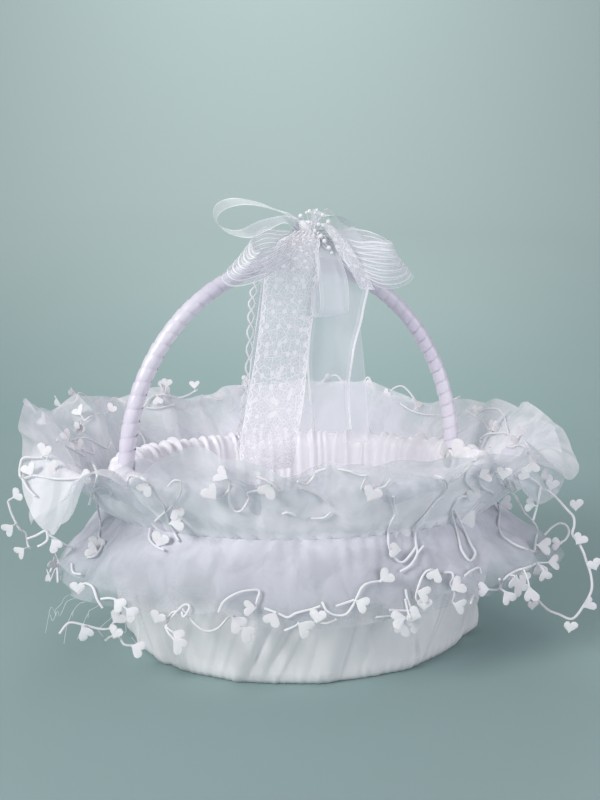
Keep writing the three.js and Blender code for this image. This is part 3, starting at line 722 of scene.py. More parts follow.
# vine runs on the ruffle: (degrees round, out from the middle, height)
# these numbers and the next table came from a separate helper script; they were not chosen by hand
STRANDS = {
    "back_right": [(38.2, 160.7, 132.8), (34.7, 159.4, 127.9), (31.4, 162, 124.9), (26.9, 159.6, 124.9),
        (23.7, 165.1, 125.1), (21.7, 168.4, 121.5)],
    "right_crown": [(16.5, 163.2, 130.3), (12.3, 161, 127.6), (6.4, 154.7, 125.8), (3.9, 154.2, 121.5),
        (1.4, 154, 118), (351.4, 150.7, 121.1)],
    "right_crown_arc": [(11.2, 163, 130.9), (7.9, 161.2, 133.8), (5.5, 163.7, 134.6), (3.8, 165.3, 133.3),
        (1.5, 164.3, 129.1), (353.5, 152.7, 124.2), (351.1, 151, 121.4)],
    "right_top_loop": [(1.5, 144, 111.2), (3.5, 146.8, 113.4), (0.8, 148.5, 117.8), (356.3, 149.6, 119.8),
        (352.3, 150.5, 121.1), (346.1, 151, 119.6), (342.3, 153.4, 118.6), (299.3, 162.8, 131.1),
        (299.1, 162.7, 127.4)],
    "right_top_inner": [(348, 145.7, 113.3), (344.9, 147.5, 113.8), (343.8, 150, 115.6),
        (336.7, 149.4, 117.4)],
    "right_foot_run": [(355.5, 142.4, 110.8), (355.7, 139.6, 104.9), (284.2, 158, 129.5),
        (283.3, 157, 128.4), (281.9, 157.2, 125.3), (281.2, 154, 121.5), (279.9, 152.7, 119.9),
        (279.6, 149.8, 117.3)],
    "right_foot_hook": [(281.7, 156.4, 124.3), (283.5, 150.4, 118.5), (285.7, 147.7, 113.8),
        (289.1, 144.2, 109.4)],
    "right_drop_inner": [(275.6, 150.9, 122.1), (276.6, 155.3, 120.3), (279.9, 147, 114.6),
        (280, 144.1, 109.6), (278.5, 141.8, 105.6), (277, 137.3, 97.5), (276.2, 133.1, 92.3),
        (276.6, 129.9, 86.9), (275.8, 133.4, 81.5), (275.4, 135.9, 76.6), (273.1, 137.4, 71.3),
        (270.6, 137, 68.7)],
    "right_drop_spur": [(275.4, 135.9, 76.6), (276.5, 135.6, 78.9), (277.4, 135.3, 80.4)],
    "right_drop_mid": [(287, 151.8, 119.4), (289.6, 147.6, 113.4), (292.4, 146, 108.9),
        (298.8, 142.1, 103.6), (315.3, 132.1, 89.4), (314.7, 133.6, 83.5), (307.6, 137.4, 79.1),
        (303.6, 143.4, 76.4), (302.8, 147.4, 74.8), (302.8, 152.2, 72.4), (303.9, 157.3, 69.9),
        (310, 158.1, 64.1)],
    "right_drop_outer": [(290, 156.8, 119.9), (297.3, 148.1, 111.6), (303.5, 145.1, 104.8),
        (303.8, 150, 101.3), (303.8, 153.3, 96.7), (319.6, 147.6, 81.8), (319.2, 153, 77),
        (318.8, 156.2, 72.2), (313.5, 157.4, 69.4), (310.4, 158.5, 64.4)],
    "right_link": [(306.6, 163.5, 106.1), (304.2, 164.7, 101.6), (303.7, 164.2, 96), (302.9, 163.1, 88)],
    "right_narrow_v": [(292.3, 143, 105.3), (289.8, 141.8, 104.9), (286.4, 141.5, 105.8),
        (284.9, 140.2, 102.8), (285.9, 135.6, 97.1), (290.3, 129.5, 86.8), (289.4, 134.1, 80.3),
        (288, 139.4, 74.7), (289, 143.4, 68.8), (292.2, 141.4, 71.1), (292.6, 137.1, 76),
        (293, 131.6, 83.2), (290.4, 131.7, 91.5), (286.5, 136.1, 97.9)],
    "right_small_loop": [(316.5, 161.2, 70.3), (317, 165.4, 75), (317.2, 169.8, 77.8), (317.2, 173.9, 77),
        (316.9, 176, 73.2), (316.5, 174.4, 68.7), (316.2, 170.6, 66)],
    "right_under": [(297.7, 149.8, 49.5), (296.4, 155.6, 57.2), (299.4, 157.7, 59.5),
        (302.2, 161.6, 60.3), (308.8, 161.6, 58.6)],
    "right_under_link": [(293.7, 149.3, 50.5), (296.8, 149.9, 48.8), (298.2, 150.1, 50.1),
        (294.9, 153.6, 56.8)],
    "right_low_arc": [(285.6, 147.4, 62.8), (288, 146.8, 64.3), (291.2, 145.8, 64.1),
        (291.3, 147.1, 61.1)],
    "right_low_hook": [(279.1, 141.2, 67.1), (277.6, 140.8, 68.1), (276.2, 140.5, 66.8),
        (274.4, 142.5, 62.8), (273.5, 142.5, 54.9), (274.5, 143.3, 51)],
    "right_low_drop": [(281.2, 142.2, 65.5), (282.8, 144, 65), (282.8, 145.5, 62.7), (281.8, 146, 59.6),
        (282.4, 147.9, 55.1), (283.1, 144.7, 48.3)],
    "right_low_bit": [(287.4, 149.7, 51.9), (286.6, 149.9, 46.7)],
    "right_low_edge": [(270.9, 141.7, 54.8), (271.1, 143, 50.4), (271.3, 145.7, 44.8)],
    "right_low_tail": [(271.2, 135.3, 40.2), (273.1, 138, 41.2), (274.5, 141.3, 39.3)],
    "back_left": [(117.5, 159.4, 135.3), (114.8, 161.6, 141.4), (111.4, 159.1, 143.2),
        (109.8, 157.5, 142.2), (105.9, 161, 139.7), (103.7, 157.6, 141.2), (100.9, 153.8, 145.7)],
    "back_left_low": [(117.2, 158.3, 134.5), (114.5, 153, 133.5), (108.8, 153.8, 135.4)],
    "left_by_handle": [(123.5, 151, 120.2), (122.6, 147.5, 115), (123, 144.1, 110.2),
        (123.8, 145.2, 105.6), (125.3, 149.1, 104.4)],
    "left_crown": [(143.1, 157, 131.7), (141.3, 155, 134.2), (135.5, 158.7, 134.2)],
    "left_long": [(169.9, 154.4, 128.7), (161, 151.5, 121.1), (155.8, 145, 113.6), (154.1, 140.6, 107.6),
        (206.6, 161.9, 123.6), (206.8, 163.1, 118.6), (197.3, 149.6, 108.6), (197.4, 152.4, 101.3)],
    "left_zigzag": [(157.7, 152.1, 124.1), (149.9, 152.5, 122.6), (147.2, 149.2, 121.4),
        (143.1, 146.6, 116.1), (140.4, 143.6, 112.2), (138.1, 144.3, 115.8)],
    "left_zigzag_low": [(154.5, 145.8, 116.4), (151.9, 144.1, 114), (148.8, 143.3, 112.2),
        (147.7, 146.1, 117.1)],
    "left_outer": [(184.6, 162.4, 124.4), (183.7, 167.9, 124.2), (183.2, 175.1, 124.6),
        (183.3, 177.2, 120.8), (186.2, 179.3, 116.7), (186.5, 178, 113.9), (188.6, 176.6, 109.3),
        (190.4, 174.5, 106)],
    "left_shelf": [(186.4, 177.4, 114.4), (186.7, 172.2, 115.7), (189.3, 169.3, 116),
        (192.4, 166.2, 115.9), (195.5, 162.9, 116.5), (199.1, 160.9, 118)],
    "left_tip": [(177, 183.5, 96.6), (177.5, 181.8, 89.1), (178.2, 178.3, 80.7), (178.5, 175.1, 77.8),
        (179.1, 174.3, 71.6), (179.4, 173.2, 68.7)],
    "left_tip_low": [(194.9, 185, 86.5), (195.3, 180.6, 87.7), (195.8, 175.7, 89.8), (196.2, 175.3, 85.6),
        (196.1, 177.6, 83.3), (195.8, 180.5, 82)],
    "left_low_run": [(185.1, 165.4, 80.4), (185.8, 160.5, 76.7), (186.5, 156.6, 73.6),
        (187.2, 151.8, 71.3)],
    "left_drop": [(202.2, 146, 107.1), (205.1, 150.9, 112.1), (207.3, 157.6, 116.1), (204.6, 157.2, 115),
        (197.4, 149.2, 108), (196.7, 147.3, 104.1), (184.3, 135.1, 88.1), (185.1, 134.9, 81.3),
        (189, 138.8, 77.8), (192.9, 140.7, 74.1), (195, 147.3, 70.6), (193.8, 150.7, 69.4)],
    "left_front_hook": [(211, 152.1, 115.1), (211.8, 153.5, 120.2), (212.5, 152.1, 122.3),
        (220.2, 168.6, 125.2), (220.6, 162.7, 120.8), (219.3, 153.3, 113.2), (218.8, 147.1, 106.8),
        (215.9, 135.3, 96.3), (215.2, 129.3, 88.3), (217.3, 131.4, 84.4)],
    "left_front_cross": [(222.4, 156.2, 119.5), (223.6, 155.7, 122.6), (224.5, 153.3, 121.4),
        (223.6, 150.7, 114.7), (220.8, 147.3, 107.3), (216.6, 140.5, 101.3), (211.6, 134.7, 94.4)],
    "left_front_curl": [(207.1, 129.2, 88.1), (208.4, 132.6, 83.6), (211.9, 136, 81.1),
        (214.8, 136.5, 79.7)],
    "left_low_curl": [(191.2, 157.2, 65.5), (194, 159.3, 62.5), (195.8, 156.8, 62)],
    "left_low_fall": [(198.4, 161.7, 57.2), (200.6, 161.3, 60.7), (203.2, 161, 59.9),
        (204.8, 161.6, 54.4), (205.8, 160.2, 49.7)],
    "left_low_short": [(205.6, 160.8, 54.7), (207.1, 158.7, 55.5), (208.5, 156.6, 54.9)],
    "left_low_out": [(198.5, 174.5, 34), (198.7, 168.9, 38.9), (200.3, 162, 36.9), (201.9, 156.2, 34.5),
        (203, 151.9, 34), (203.1, 150.1, 35.9)],
    "left_low_end": [(203.2, 155.1, 28.2), (203.7, 152, 29.9), (204.7, 148.7, 29.4), (205.9, 147.3, 25.4),
        (207.3, 143.4, 24.4)],
    "left_base_branch": [(217.8, 154.9, 48.2), (219.7, 151.3, 47.8), (220.4, 148.7, 50.4),
        (221.8, 147.5, 51.8)],
    "left_base_knot": [(220.4, 154.7, 44.8), (221.1, 151.2, 49.3), (222.7, 146.2, 54.7),
        (224.1, 146.2, 54), (223.4, 149.2, 49.4), (222.5, 147.5, 51.3)],
    "front_short": [(239.3, 150.6, 125.5), (241.3, 150.8, 123.5), (242.9, 149.5, 120.5),
        (243.5, 147, 117.7)],
    "front_u": [(239.1, 143.7, 117), (236.9, 143, 115.6), (237.1, 141.8, 113.1), (236.4, 140.3, 109.7),
        (235.1, 139.8, 105.6), (233.7, 140.2, 105.2), (233, 142.6, 109.5), (233.3, 145.6, 116.6),
        (234.1, 148.7, 123.1)],
    "front_stub": [(231.1, 145.4, 113), (233, 145.9, 116.4), (234.1, 146.2, 119.7)],
    "front_wave": [(247.2, 153.1, 123.5), (248.8, 148.7, 121.1), (250, 150.3, 124.3), (250.9, 146.8, 127),
        (252.7, 147.1, 128.4)],
    "front_fall": [(247.8, 147.2, 119), (249.9, 142.6, 116.1), (251.9, 137.8, 112.5),
        (253.6, 136, 108.5)],
    "front_spray": [(255.1, 145.5, 127.9), (257.3, 147.6, 127), (259.3, 148, 124.8),
        (260.8, 148.6, 124.2), (260.4, 145.8, 120), (260.5, 144, 116.4), (262.9, 144.1, 116.5),
        (265.2, 144.6, 117.5), (266, 147.7, 121.3)],
    "front_dash": [(243.8, 138.1, 103.8), (245, 138.7, 104.6), (246.6, 137.3, 102.6)],
    "front_dash_right": [(250, 134.6, 100.3), (252.8, 134.4, 100.5), (254.4, 135.5, 103.7)],
    "front_drop": [(267.2, 144.2, 111.8), (268.3, 139.4, 106.3), (269.1, 137.8, 101.3),
        (268.6, 135, 95.5), (269.1, 129.5, 88.7), (268.8, 132, 82), (269.7, 133.7, 76.2),
        (271.6, 134.9, 73), (273.8, 135, 76.5), (275.9, 133.9, 80.9)],
    "low_arch": [(231.3, 150.7, 54.3), (232, 148.2, 59.1), (233.8, 146.1, 62.5), (235.9, 142.7, 63.9),
        (238.6, 139.6, 63.4), (238.5, 141.8, 59.4), (238.1, 142.4, 55.2)],
    "low_left_swag": [(222.3, 146.6, 53.4), (223.7, 146.3, 49.2), (225.2, 146, 44.9),
        (227.4, 144.8, 41.4), (229.5, 142, 42.2), (230.9, 139.2, 45.9), (231.5, 138, 47.4),
        (232.9, 136.8, 47.7)],
    "low_mid_swag": [(240.1, 143.5, 55.2), (243, 145.4, 53.3), (245, 146.2, 51.4), (246.7, 146.3, 53.6),
        (249.7, 146.6, 55.5), (251.6, 146.2, 56.9)],
    "low_right_swag": [(252, 145.2, 59), (252.9, 147.4, 54.7), (254.7, 148.1, 52.2), (256.8, 147.6, 52.3),
        (258.3, 146.3, 56), (259.6, 143.7, 60.3), (260.9, 141.7, 64.4), (262.6, 140.9, 65.9),
        (265.6, 139.1, 65.6)],
    "low_under": [(244.4, 149.1, 45.3), (246.6, 148.2, 47.4), (247.4, 147.8, 49.4)],
    "low_under_right": [(250.3, 148.8, 49.7), (252.6, 149.4, 48.8), (254.8, 148.5, 50.3)],
    "low_spur": [(254.8, 146.6, 56.6), (258.7, 145, 58.7)],
    "low_bar": [(263.3, 146.1, 48.6), (267, 145, 47.4), (268.3, 147.2, 46.7)],
    "low_bar_top": [(266.5, 145.3, 51.2), (271.1, 143.4, 48.4), (272.7, 143.7, 46.2)],
    "low_tick": [(271.3, 140.4, 59.6), (271.5, 141.2, 55.1), (272, 142.9, 49.9)],
}
# where the hearts sit, in the same measure, each followed by the point of the vine it hangs from
HEARTS_AT = {
    "right_hearts": [(315.3, 121.9, 116.4, 317.4, 120.9, 117.2), (287.6, 155, 119.6, 287.5, 150.9, 118.2),
        (290.7, 161.4, 120.2, 293.5, 152.1, 115.8), (302.2, 150.4, 110.8, 302.9, 145.3, 105.5),
        (300, 165.1, 125.4, 299.1, 162.7, 127.8), (297.7, 167.4, 121.4, 299.1, 162.7, 127.8),
        (303.1, 156.5, 113.9, 306.6, 163.5, 106.1), (303, 153.3, 107.9, 303.7, 148.5, 102.4),
        (313.8, 137.9, 90.5, 315.2, 132.2, 88.8), (301.9, 161.5, 97.6, 303.7, 164.2, 96),
        (302.8, 151.8, 108.7, 303.6, 147.1, 103.4), (359.3, 152.3, 123, 2.4, 154, 119.4),
        (11.9, 162.3, 132.1, 11.2, 163, 130.9), (346.1, 153.2, 124.2, 345.7, 151.2, 119.5),
        (33.3, 163.3, 132.5, 33.7, 160.1, 127), (282.7, 149.1, 59, 282.1, 146.9, 57.3),
        (282.7, 151.3, 48.3, 283, 145, 49), (290.4, 150.5, 53, 293.7, 149.3, 50.5),
        (278.2, 143.1, 65.4, 279.1, 141.2, 67.1), (274.9, 145.2, 51.4, 274.4, 143.2, 51.4),
        (345.5, 149.2, 118.7, 346.7, 150.9, 119.8), (2.1, 155.1, 123.8, 3.4, 154.1, 120.8)],
    "right_low_hearts": [(312.2, 163.2, 66.6, 311.9, 157.9, 66.9), (315.5, 168.8, 66.4, 316.2, 171, 66.3),
        (296.1, 161.5, 55.6, 297.3, 156.2, 57.9), (302.8, 158.6, 53.4, 300.5, 159.2, 59.8),
        (301, 158.3, 48.2, 297.6, 156.4, 58.1), (307.4, 163.9, 55.9, 308.1, 161.5, 58.8),
        (306.4, 167.8, 53.6, 308.1, 161.5, 58.8), (311.1, 169.7, 57.9, 308.1, 161.5, 58.8),
        (298.8, 167.8, 47.5, 301.1, 160, 60), (328.8, 155, 14.3, 328.8, 155, 13.3),
        (296.1, 157.6, 46.1, 297.1, 149.9, 49.1), (289.3, 143.3, 105.5, 290.1, 141.9, 104.9),
        (272.8, 143.6, 40.2, 273.9, 140, 40.1), (270.4, 140.7, 38, 271.2, 135.3, 40.2)],
    "left_hearts": [(110.9, 154.3, 152.5, 110.6, 158.3, 142.7),
        (102.3, 151.1, 149.9, 101.2, 154.2, 145.2), (113.7, 155.9, 139.2, 112.8, 160, 142.5),
        (129.4, 159.2, 136.8, 136.1, 158.3, 134.2), (142.6, 161.2, 138.5, 142.6, 156.4, 132.4),
        (146, 158.2, 129.2, 143.1, 157, 131.7), (156.6, 154.7, 127.2, 157.7, 152.1, 124.1),
        (145.4, 155.8, 127, 143.1, 157, 131.7), (155.8, 148, 119.5, 158.5, 148.1, 117.3),
        (185.6, 164.6, 129.2, 184.3, 164, 124.3), (185.8, 173.6, 119, 186.6, 173.2, 115.4),
        (190.2, 164.3, 121.4, 184.6, 162.4, 124.4), (201, 158.6, 119.1, 198.7, 161.1, 117.8),
        (178.2, 178.2, 100.8, 177, 183.5, 96.6), (179.5, 184.2, 81.8, 178, 179.3, 83.2),
        (180.8, 178.7, 68.6, 179.3, 173.4, 69.3), (187.5, 162.3, 75, 185.9, 159.7, 76.1),
        (219.4, 163.6, 119.2, 220.5, 164.5, 122.1), (218.9, 136.6, 96.2, 215.6, 132.9, 93.1),
        (212.8, 134, 84.5, 212.5, 136.1, 80.8), (191.5, 142.2, 75.4, 191.4, 139.9, 75.6),
        (192.4, 146.2, 72.5, 194.4, 145.3, 71.6)],
    "left_low_hearts": [(198.9, 162.7, 57.6, 198.4, 161.7, 57.2), (209.8, 157.6, 53.3, 208.4, 156.8, 55),
        (202.1, 164.4, 34.8, 200.6, 160.8, 36.4), (204.8, 148.8, 41, 203.1, 150.3, 35.7),
        (205.4, 151.3, 33.6, 204.4, 149.7, 29.5), (209.3, 144.9, 24.3, 207.2, 143.8, 24.5),
        (224.2, 157.3, 37.5, 220.4, 154.7, 44.8), (219.3, 156.6, 50.4, 218.4, 153.8, 48.1),
        (212.3, 155.2, 49, 208.4, 156.8, 55)],
    "front_hearts": [(241.3, 147.3, 117.8, 242.3, 150, 121.7), (230.1, 149.1, 116.5, 231.1, 145.4, 113),
        (233.1, 155.1, 126.5, 234, 148.4, 122.4), (221.5, 145.2, 103.5, 220.8, 147.3, 107.3),
        (269.8, 134.1, 80.4, 269.2, 132.7, 79.7), (262.3, 145.2, 114.6, 262.4, 144.1, 116.5),
        (234.2, 141.5, 45.9, 232.8, 136.9, 47.7), (241.9, 147.7, 51, 242.4, 145, 53.7),
        (251, 150.1, 53.2, 250.8, 148.9, 49.5), (260.2, 147.2, 56.8, 258.9, 145, 58.2),
        (266.5, 139.7, 68.2, 265.3, 139.3, 65.6), (248.5, 150.9, 47.5, 247.3, 147.8, 49.2),
        (267.4, 150.9, 47.7, 268.2, 147, 46.8), (272.3, 145.3, 46.8, 272.5, 143.7, 46.4),
        (274.6, 145.6, 57.4, 273.9, 142.5, 58.1), (236.4, 142.1, 41.4, 232.8, 136.9, 47.7),
        (223.8, 155.9, 41.7, 220.5, 154.3, 45.2), (237.1, 144.7, 55.8, 238.1, 142.3, 55.6)],
}


def swag(stops, layer, steps=9):
    """Vine points: each stop is (degrees, t on the ruffle, out, down) in millimetres."""
    knots = []
    for degrees, t, out, down in stops:
        angle = math.radians(degrees)
        base = tulle_at(layer, angle, t)
        away = Vector((base.x, base.y, 0)).normalized()
        knots.append(base + away * out - Vector((0, 0, down)))
    count = (len(knots) - 1) * steps
    return [along_line(knots, i / count) for i in range(count + 1)]


def vine_hearts(points, spacing, seed, start=0.4, size=8.2, hang=0.35):
    rng = random.Random(seed)
    places, walked, due = [], 0.0, spacing * start
    for a, b in zip(points, points[1:]):
        walked += (b - a).length
        if walked < due:
            continue
        due += spacing * rng.uniform(0.6, 1.4)
        away = Vector((b.x, b.y, 0)).normalized()
        side = away.cross(Vector((0, 0, 1)))
        turn = rng.uniform(-1.3, 1.3)
        point_to = side * math.sin(turn) + Vector((0, 0, 1)) * (math.cos(turn) - hang)
        point_to += away * rng.uniform(0.0, 0.7)
        facing = away + Vector((rng.uniform(-0.5, 0.5), rng.uniform(-0.5, 0.5), rng.uniform(-0.1, 0.6)))
        places.append((b, point_to, facing, size * rng.uniform(0.88, 1.15)))
    return places


def edge_stops(start, stop, step, seed, layer):
    """Zigzag along an edge with loops that wander in and out of the cloth."""
    rng = random.Random(seed)
    stops, degrees, high = [], start, True
    while degrees < stop:
        t = rng.uniform(0.98, 1.12) if high else rng.uniform(0.78, 0.95)
        out = rng.uniform(1.0, 4.0)
        stops.append((degrees, t, out, rng.uniform(-1.5, 3.0) if high else rng.uniform(0, 5)))
        degrees += step * rng.uniform(0.45, 1.5) * (1 if rng.random() > 0.12 else -0.45)
        high = not high
    return stops


def polar(stop):
    return ring(math.radians(stop[0]), stop[1], stop[2])


def placed_hearts(stops, seed):
    """Hearts that face forward and outward; each hangs from the vine by a stem when it is clear of it."""
    rng = random.Random(seed)
    places, stems = [], []
    for stop in stops:
        point, root = polar(stop[:3]), polar(stop[3:])
        away = Vector((point.x, point.y, 0)).normalized()
        facing = Vector((-0.41, -0.9, 0.22)) + away * 0.35
        facing += Vector((rng.uniform(-0.3, 0.3), rng.uniform(-0.3, 0.3), rng.uniform(-0.3, 0.3)))
        facing.normalize()
        side = facing.cross(Vector((0, 0, 1))).normalized()
        turn = rng.choice((-1, 1)) * rng.uniform(0.0, 1.5)
        point_to = side * math.sin(turn) + Vector((0, 0, 1)) * math.cos(turn)
        size = 8.6 * rng.uniform(0.88, 1.12)
        gap = point - root
        if gap.length > 2.5:
            point_to = (gap - facing * gap.dot(facing)).normalized()
            tip = point - point_to * size * 0.5
            middle = root.lerp(tip, 0.5) + facing * 0.8
            stems.append([along_line([root, middle, tip + point_to * 1.5], k / 10) for k in range(11)])
        places.append((point - point_to * size * 0.5, point_to, facing, size))
    return places, stems


def make_vines():
    behind = {"vine_upper": ("upper", edge_stops(22, 152, 6.4, 5, "upper"), 34, 1),
              "vine_lower": ("lower", edge_stops(-30, 190, 6.4, 12, "lower"), 24, 8)}
    for node, (layer, stops, spacing, seed) in behind.items():
        points = swag(stops, layer)
        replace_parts(cord_curve(f"{node}_behind", points, 1.5, TRIM), node)
        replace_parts(hearts(f"{node}_behind_hearts", vine_hearts(points, spacing, seed)), node)
    for name, stops in STRANDS.items():
        knots = [polar(stop) for stop in stops]
        count = (len(knots) - 1) * 7
        strand = cord_curve(f"vine_{name}", [along_line(knots, i / count) for i in range(count + 1)], 1.35,
                            TRIM)
        low = "low" in name or "base" in name
        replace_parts(strand, "vine_lower" if low else "vine_upper")
    for seed, (name, stops) in enumerate(HEARTS_AT.items(), 20):
        places, stems = placed_hearts(stops, seed)
        node = "vine_lower" if "low" in name else "vine_upper"
        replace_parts(hearts(name, places), node)
        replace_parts(cord_curves(f"{name}_stems", stems, 1.1, TRIM), node)


LOOP = [Vector(p) for p in ((100, -117, 109), (101, -119, 104), (105, -122, 102), (109, -126, 97),
                            (112, -130, 92), (115, -132, 88), (115, -133, 83), (114, -133, 78), (117, -135, 73),
                            (119, -137, 68), (121, -138, 62), (123, -140, 54), (123, -141, 45), (119, -139, 35),
                            (115, -135, 27), (111, -128, 28), (107, -121, 30), (103, -111, 38))]
LOOP_HEARTS = ((117, -131, 95), (116, -137, 76), (121, -144, 62), (118, -145, 39), (109, -140, 25),
               (107, -121, 106), (104, -119, 111))


def make_loose_loop():
    points = [along_line(LOOP, i / 90) for i in range(91)]
    loop = cord_curve("vine_loose_loop", points, 1.5, TRIM)
    rng = random.Random(6)
    places = []
    for spot in LOOP_HEARTS:
        facing = Vector((-0.41, -0.9, 0.2)) + Vector((rng.uniform(-0.3, 0.3), 0, rng.uniform(-0.3, 0.3)))
        turn = rng.uniform(-1.6, 1.6)
        point_to = Vector((0.9, -0.42, 0)) * math.sin(turn) + Vector((0, 0, 1)) * math.cos(turn)
        places.append((Vector(spot) - point_to * 4, point_to, facing, 8.0))
    leaves = hearts("vine_loose_hearts", places)
    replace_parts(loop, "vine_loop_right")
    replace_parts(leaves, "vine_loop_right")


def make_threads():
    rng = random.Random(77)
    for i in range(7):
        angle = math.radians(196 + i * 3.2)
        base = tulle_at("lower", angle, 1.0)
        away = Vector((base.x, base.y, 0)).normalized()
        points = [base + away * (k * rng.uniform(1.6, 2.6)) - Vector((0, 0, k * k * rng.uniform(0.1, 0.5)))
                  + Vector((rng.uniform(-1, 1), rng.uniform(-1, 1), 0)) * 0.6 for k in range(8)]
        thread = cord_curve(f"loose_thread_{i + 1}", [along_line(points, j / 28) for j in range(29)],
                            0.22, TRIM, sides=1)
        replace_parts(thread, "vine_lower")


# ---------------------------------------------------------------- handle
def arch(t):
    """Handle centreline from the right foot to the left foot, t from 0 to 1."""
    angle = 0.03 + t * (math.pi - 0.06)
    return Vector((HALF_SPAN * math.cos(angle), 0, SPRING + (APEX - SPRING) * math.sin(angle)))


def make_wrap():
    """One ribbon wound up and over the rod, each turn's lower edge lying on the turn before."""
    stops = [arch(i / 800) for i in range(801)]
    length = sum((b - a).length for a, b in zip(stops, stops[1:]))
    pitch, width = WRAP_PITCH, WRAP_WIDTH
    turns = length / pitch
    wound = turns * math.hypot(TURN * WRAP_RADIUS, pitch)
    side = Vector((0, 1, 0))

    def place(u, v):
        t = min(max(v + (u - 0.5) * width / length, 0.0), 1.0)
        angle = v * turns * TURN
        tangent = (arch(min(t + 0.002, 1)) - arch(max(t - 0.002, 0))).normalized()
        out = tangent.cross(side)
        lift = 0.95 * (1 - u) ** 1.3 + 0.42 * math.sin(math.pi * u)
        pucker = 0.16 * math.sin(angle * 5.3) * math.exp(-(u / 0.2) ** 2)
        radius = WRAP_RADIUS - 0.6 + lift + pucker
        return arch(t) + (side * math.cos(angle) + out * math.sin(angle)) * radius

    cut = (width * MM, wound * MM)
    wrap = cloth("handle_ribbon", 8, 1250, place, cut, WRAP_SATIN_SHADED)
    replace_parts(wrap, "handle_wrap")


def make_petals():
    bm = bmesh.new()
    for lean, size, place in ((-1.3, 1.4, (104, -19, 107)), (0.35, 1.35, (105, -19, 106)),
                              (-0.9, 0.8, (102, -22, 104)), (1.6, 0.75, (115, -17, 108))):
        point_to = Vector((math.sin(lean), -0.35, math.cos(lean) * 0.6)).normalized()
        facing = Vector((-0.35, -1, 0.45))
        facing = (facing - point_to * facing.dot(point_to)).normalized()
        basis = Matrix((point_to.cross(facing), point_to, facing)).transposed().to_4x4()
        heart_shape(bm, Matrix.Translation(Vector(place) * MM) @ basis, size * 11.5 * MM, 28)
    bmesh.ops.recalc_face_normals(bm, faces=bm.faces)
    petals = make_object("foot_petals", bm, HEART)
    soften = petals.modifiers.new("edge", "BEVEL")
    soften.width, soften.segments, soften.limit_method = 0.0002, 2, "ANGLE"
    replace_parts(petals, "foot_petals_right")


# ---------------------------------------------------------------- bow
def ribbon(name, line, sides, width, material, node, cup=0.0, pinch=None, across=10, along=90):
    """Ribbon that follows line, with its width along sides; pinch gives width shares along it."""
    line, sides = [Vector(p) for p in line], [Vector(s) for s in sides]
    pinch = pinch or [1.0]
    length = sum((along_line(line, (i + 1) / 60) - along_line(line, i / 60)).length for i in range(60))

    def share(v):
        f = v * (len(pinch) - 1)
        k = min(int(f), len(pinch) - 2) if len(pinch) > 1 else 0
        return pinch[k] + (pinch[min(k + 1, len(pinch) - 1)] - pinch[k]) * smoothstep(0, 1, f - k)

    def place(u, v):
        side = along_line(sides, v).normalized()
        ahead = along_line(line, min(v + 0.01, 1)) - along_line(line, max(v - 0.01, 0))
        normal = ahead.cross(side).normalized()
        s = u - 0.5
        crimp = max(0.7 - share(v), 0) * 2.4 * math.sin(s * 40)
        return along_line(line, v) + side * s * width * share(v) + normal * (cup * (0.25 - s * s) + crimp)

    piece = cloth(name, across * 3, along, place, (width * MM, length * MM), material)
    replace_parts(piece, node)
    return piece


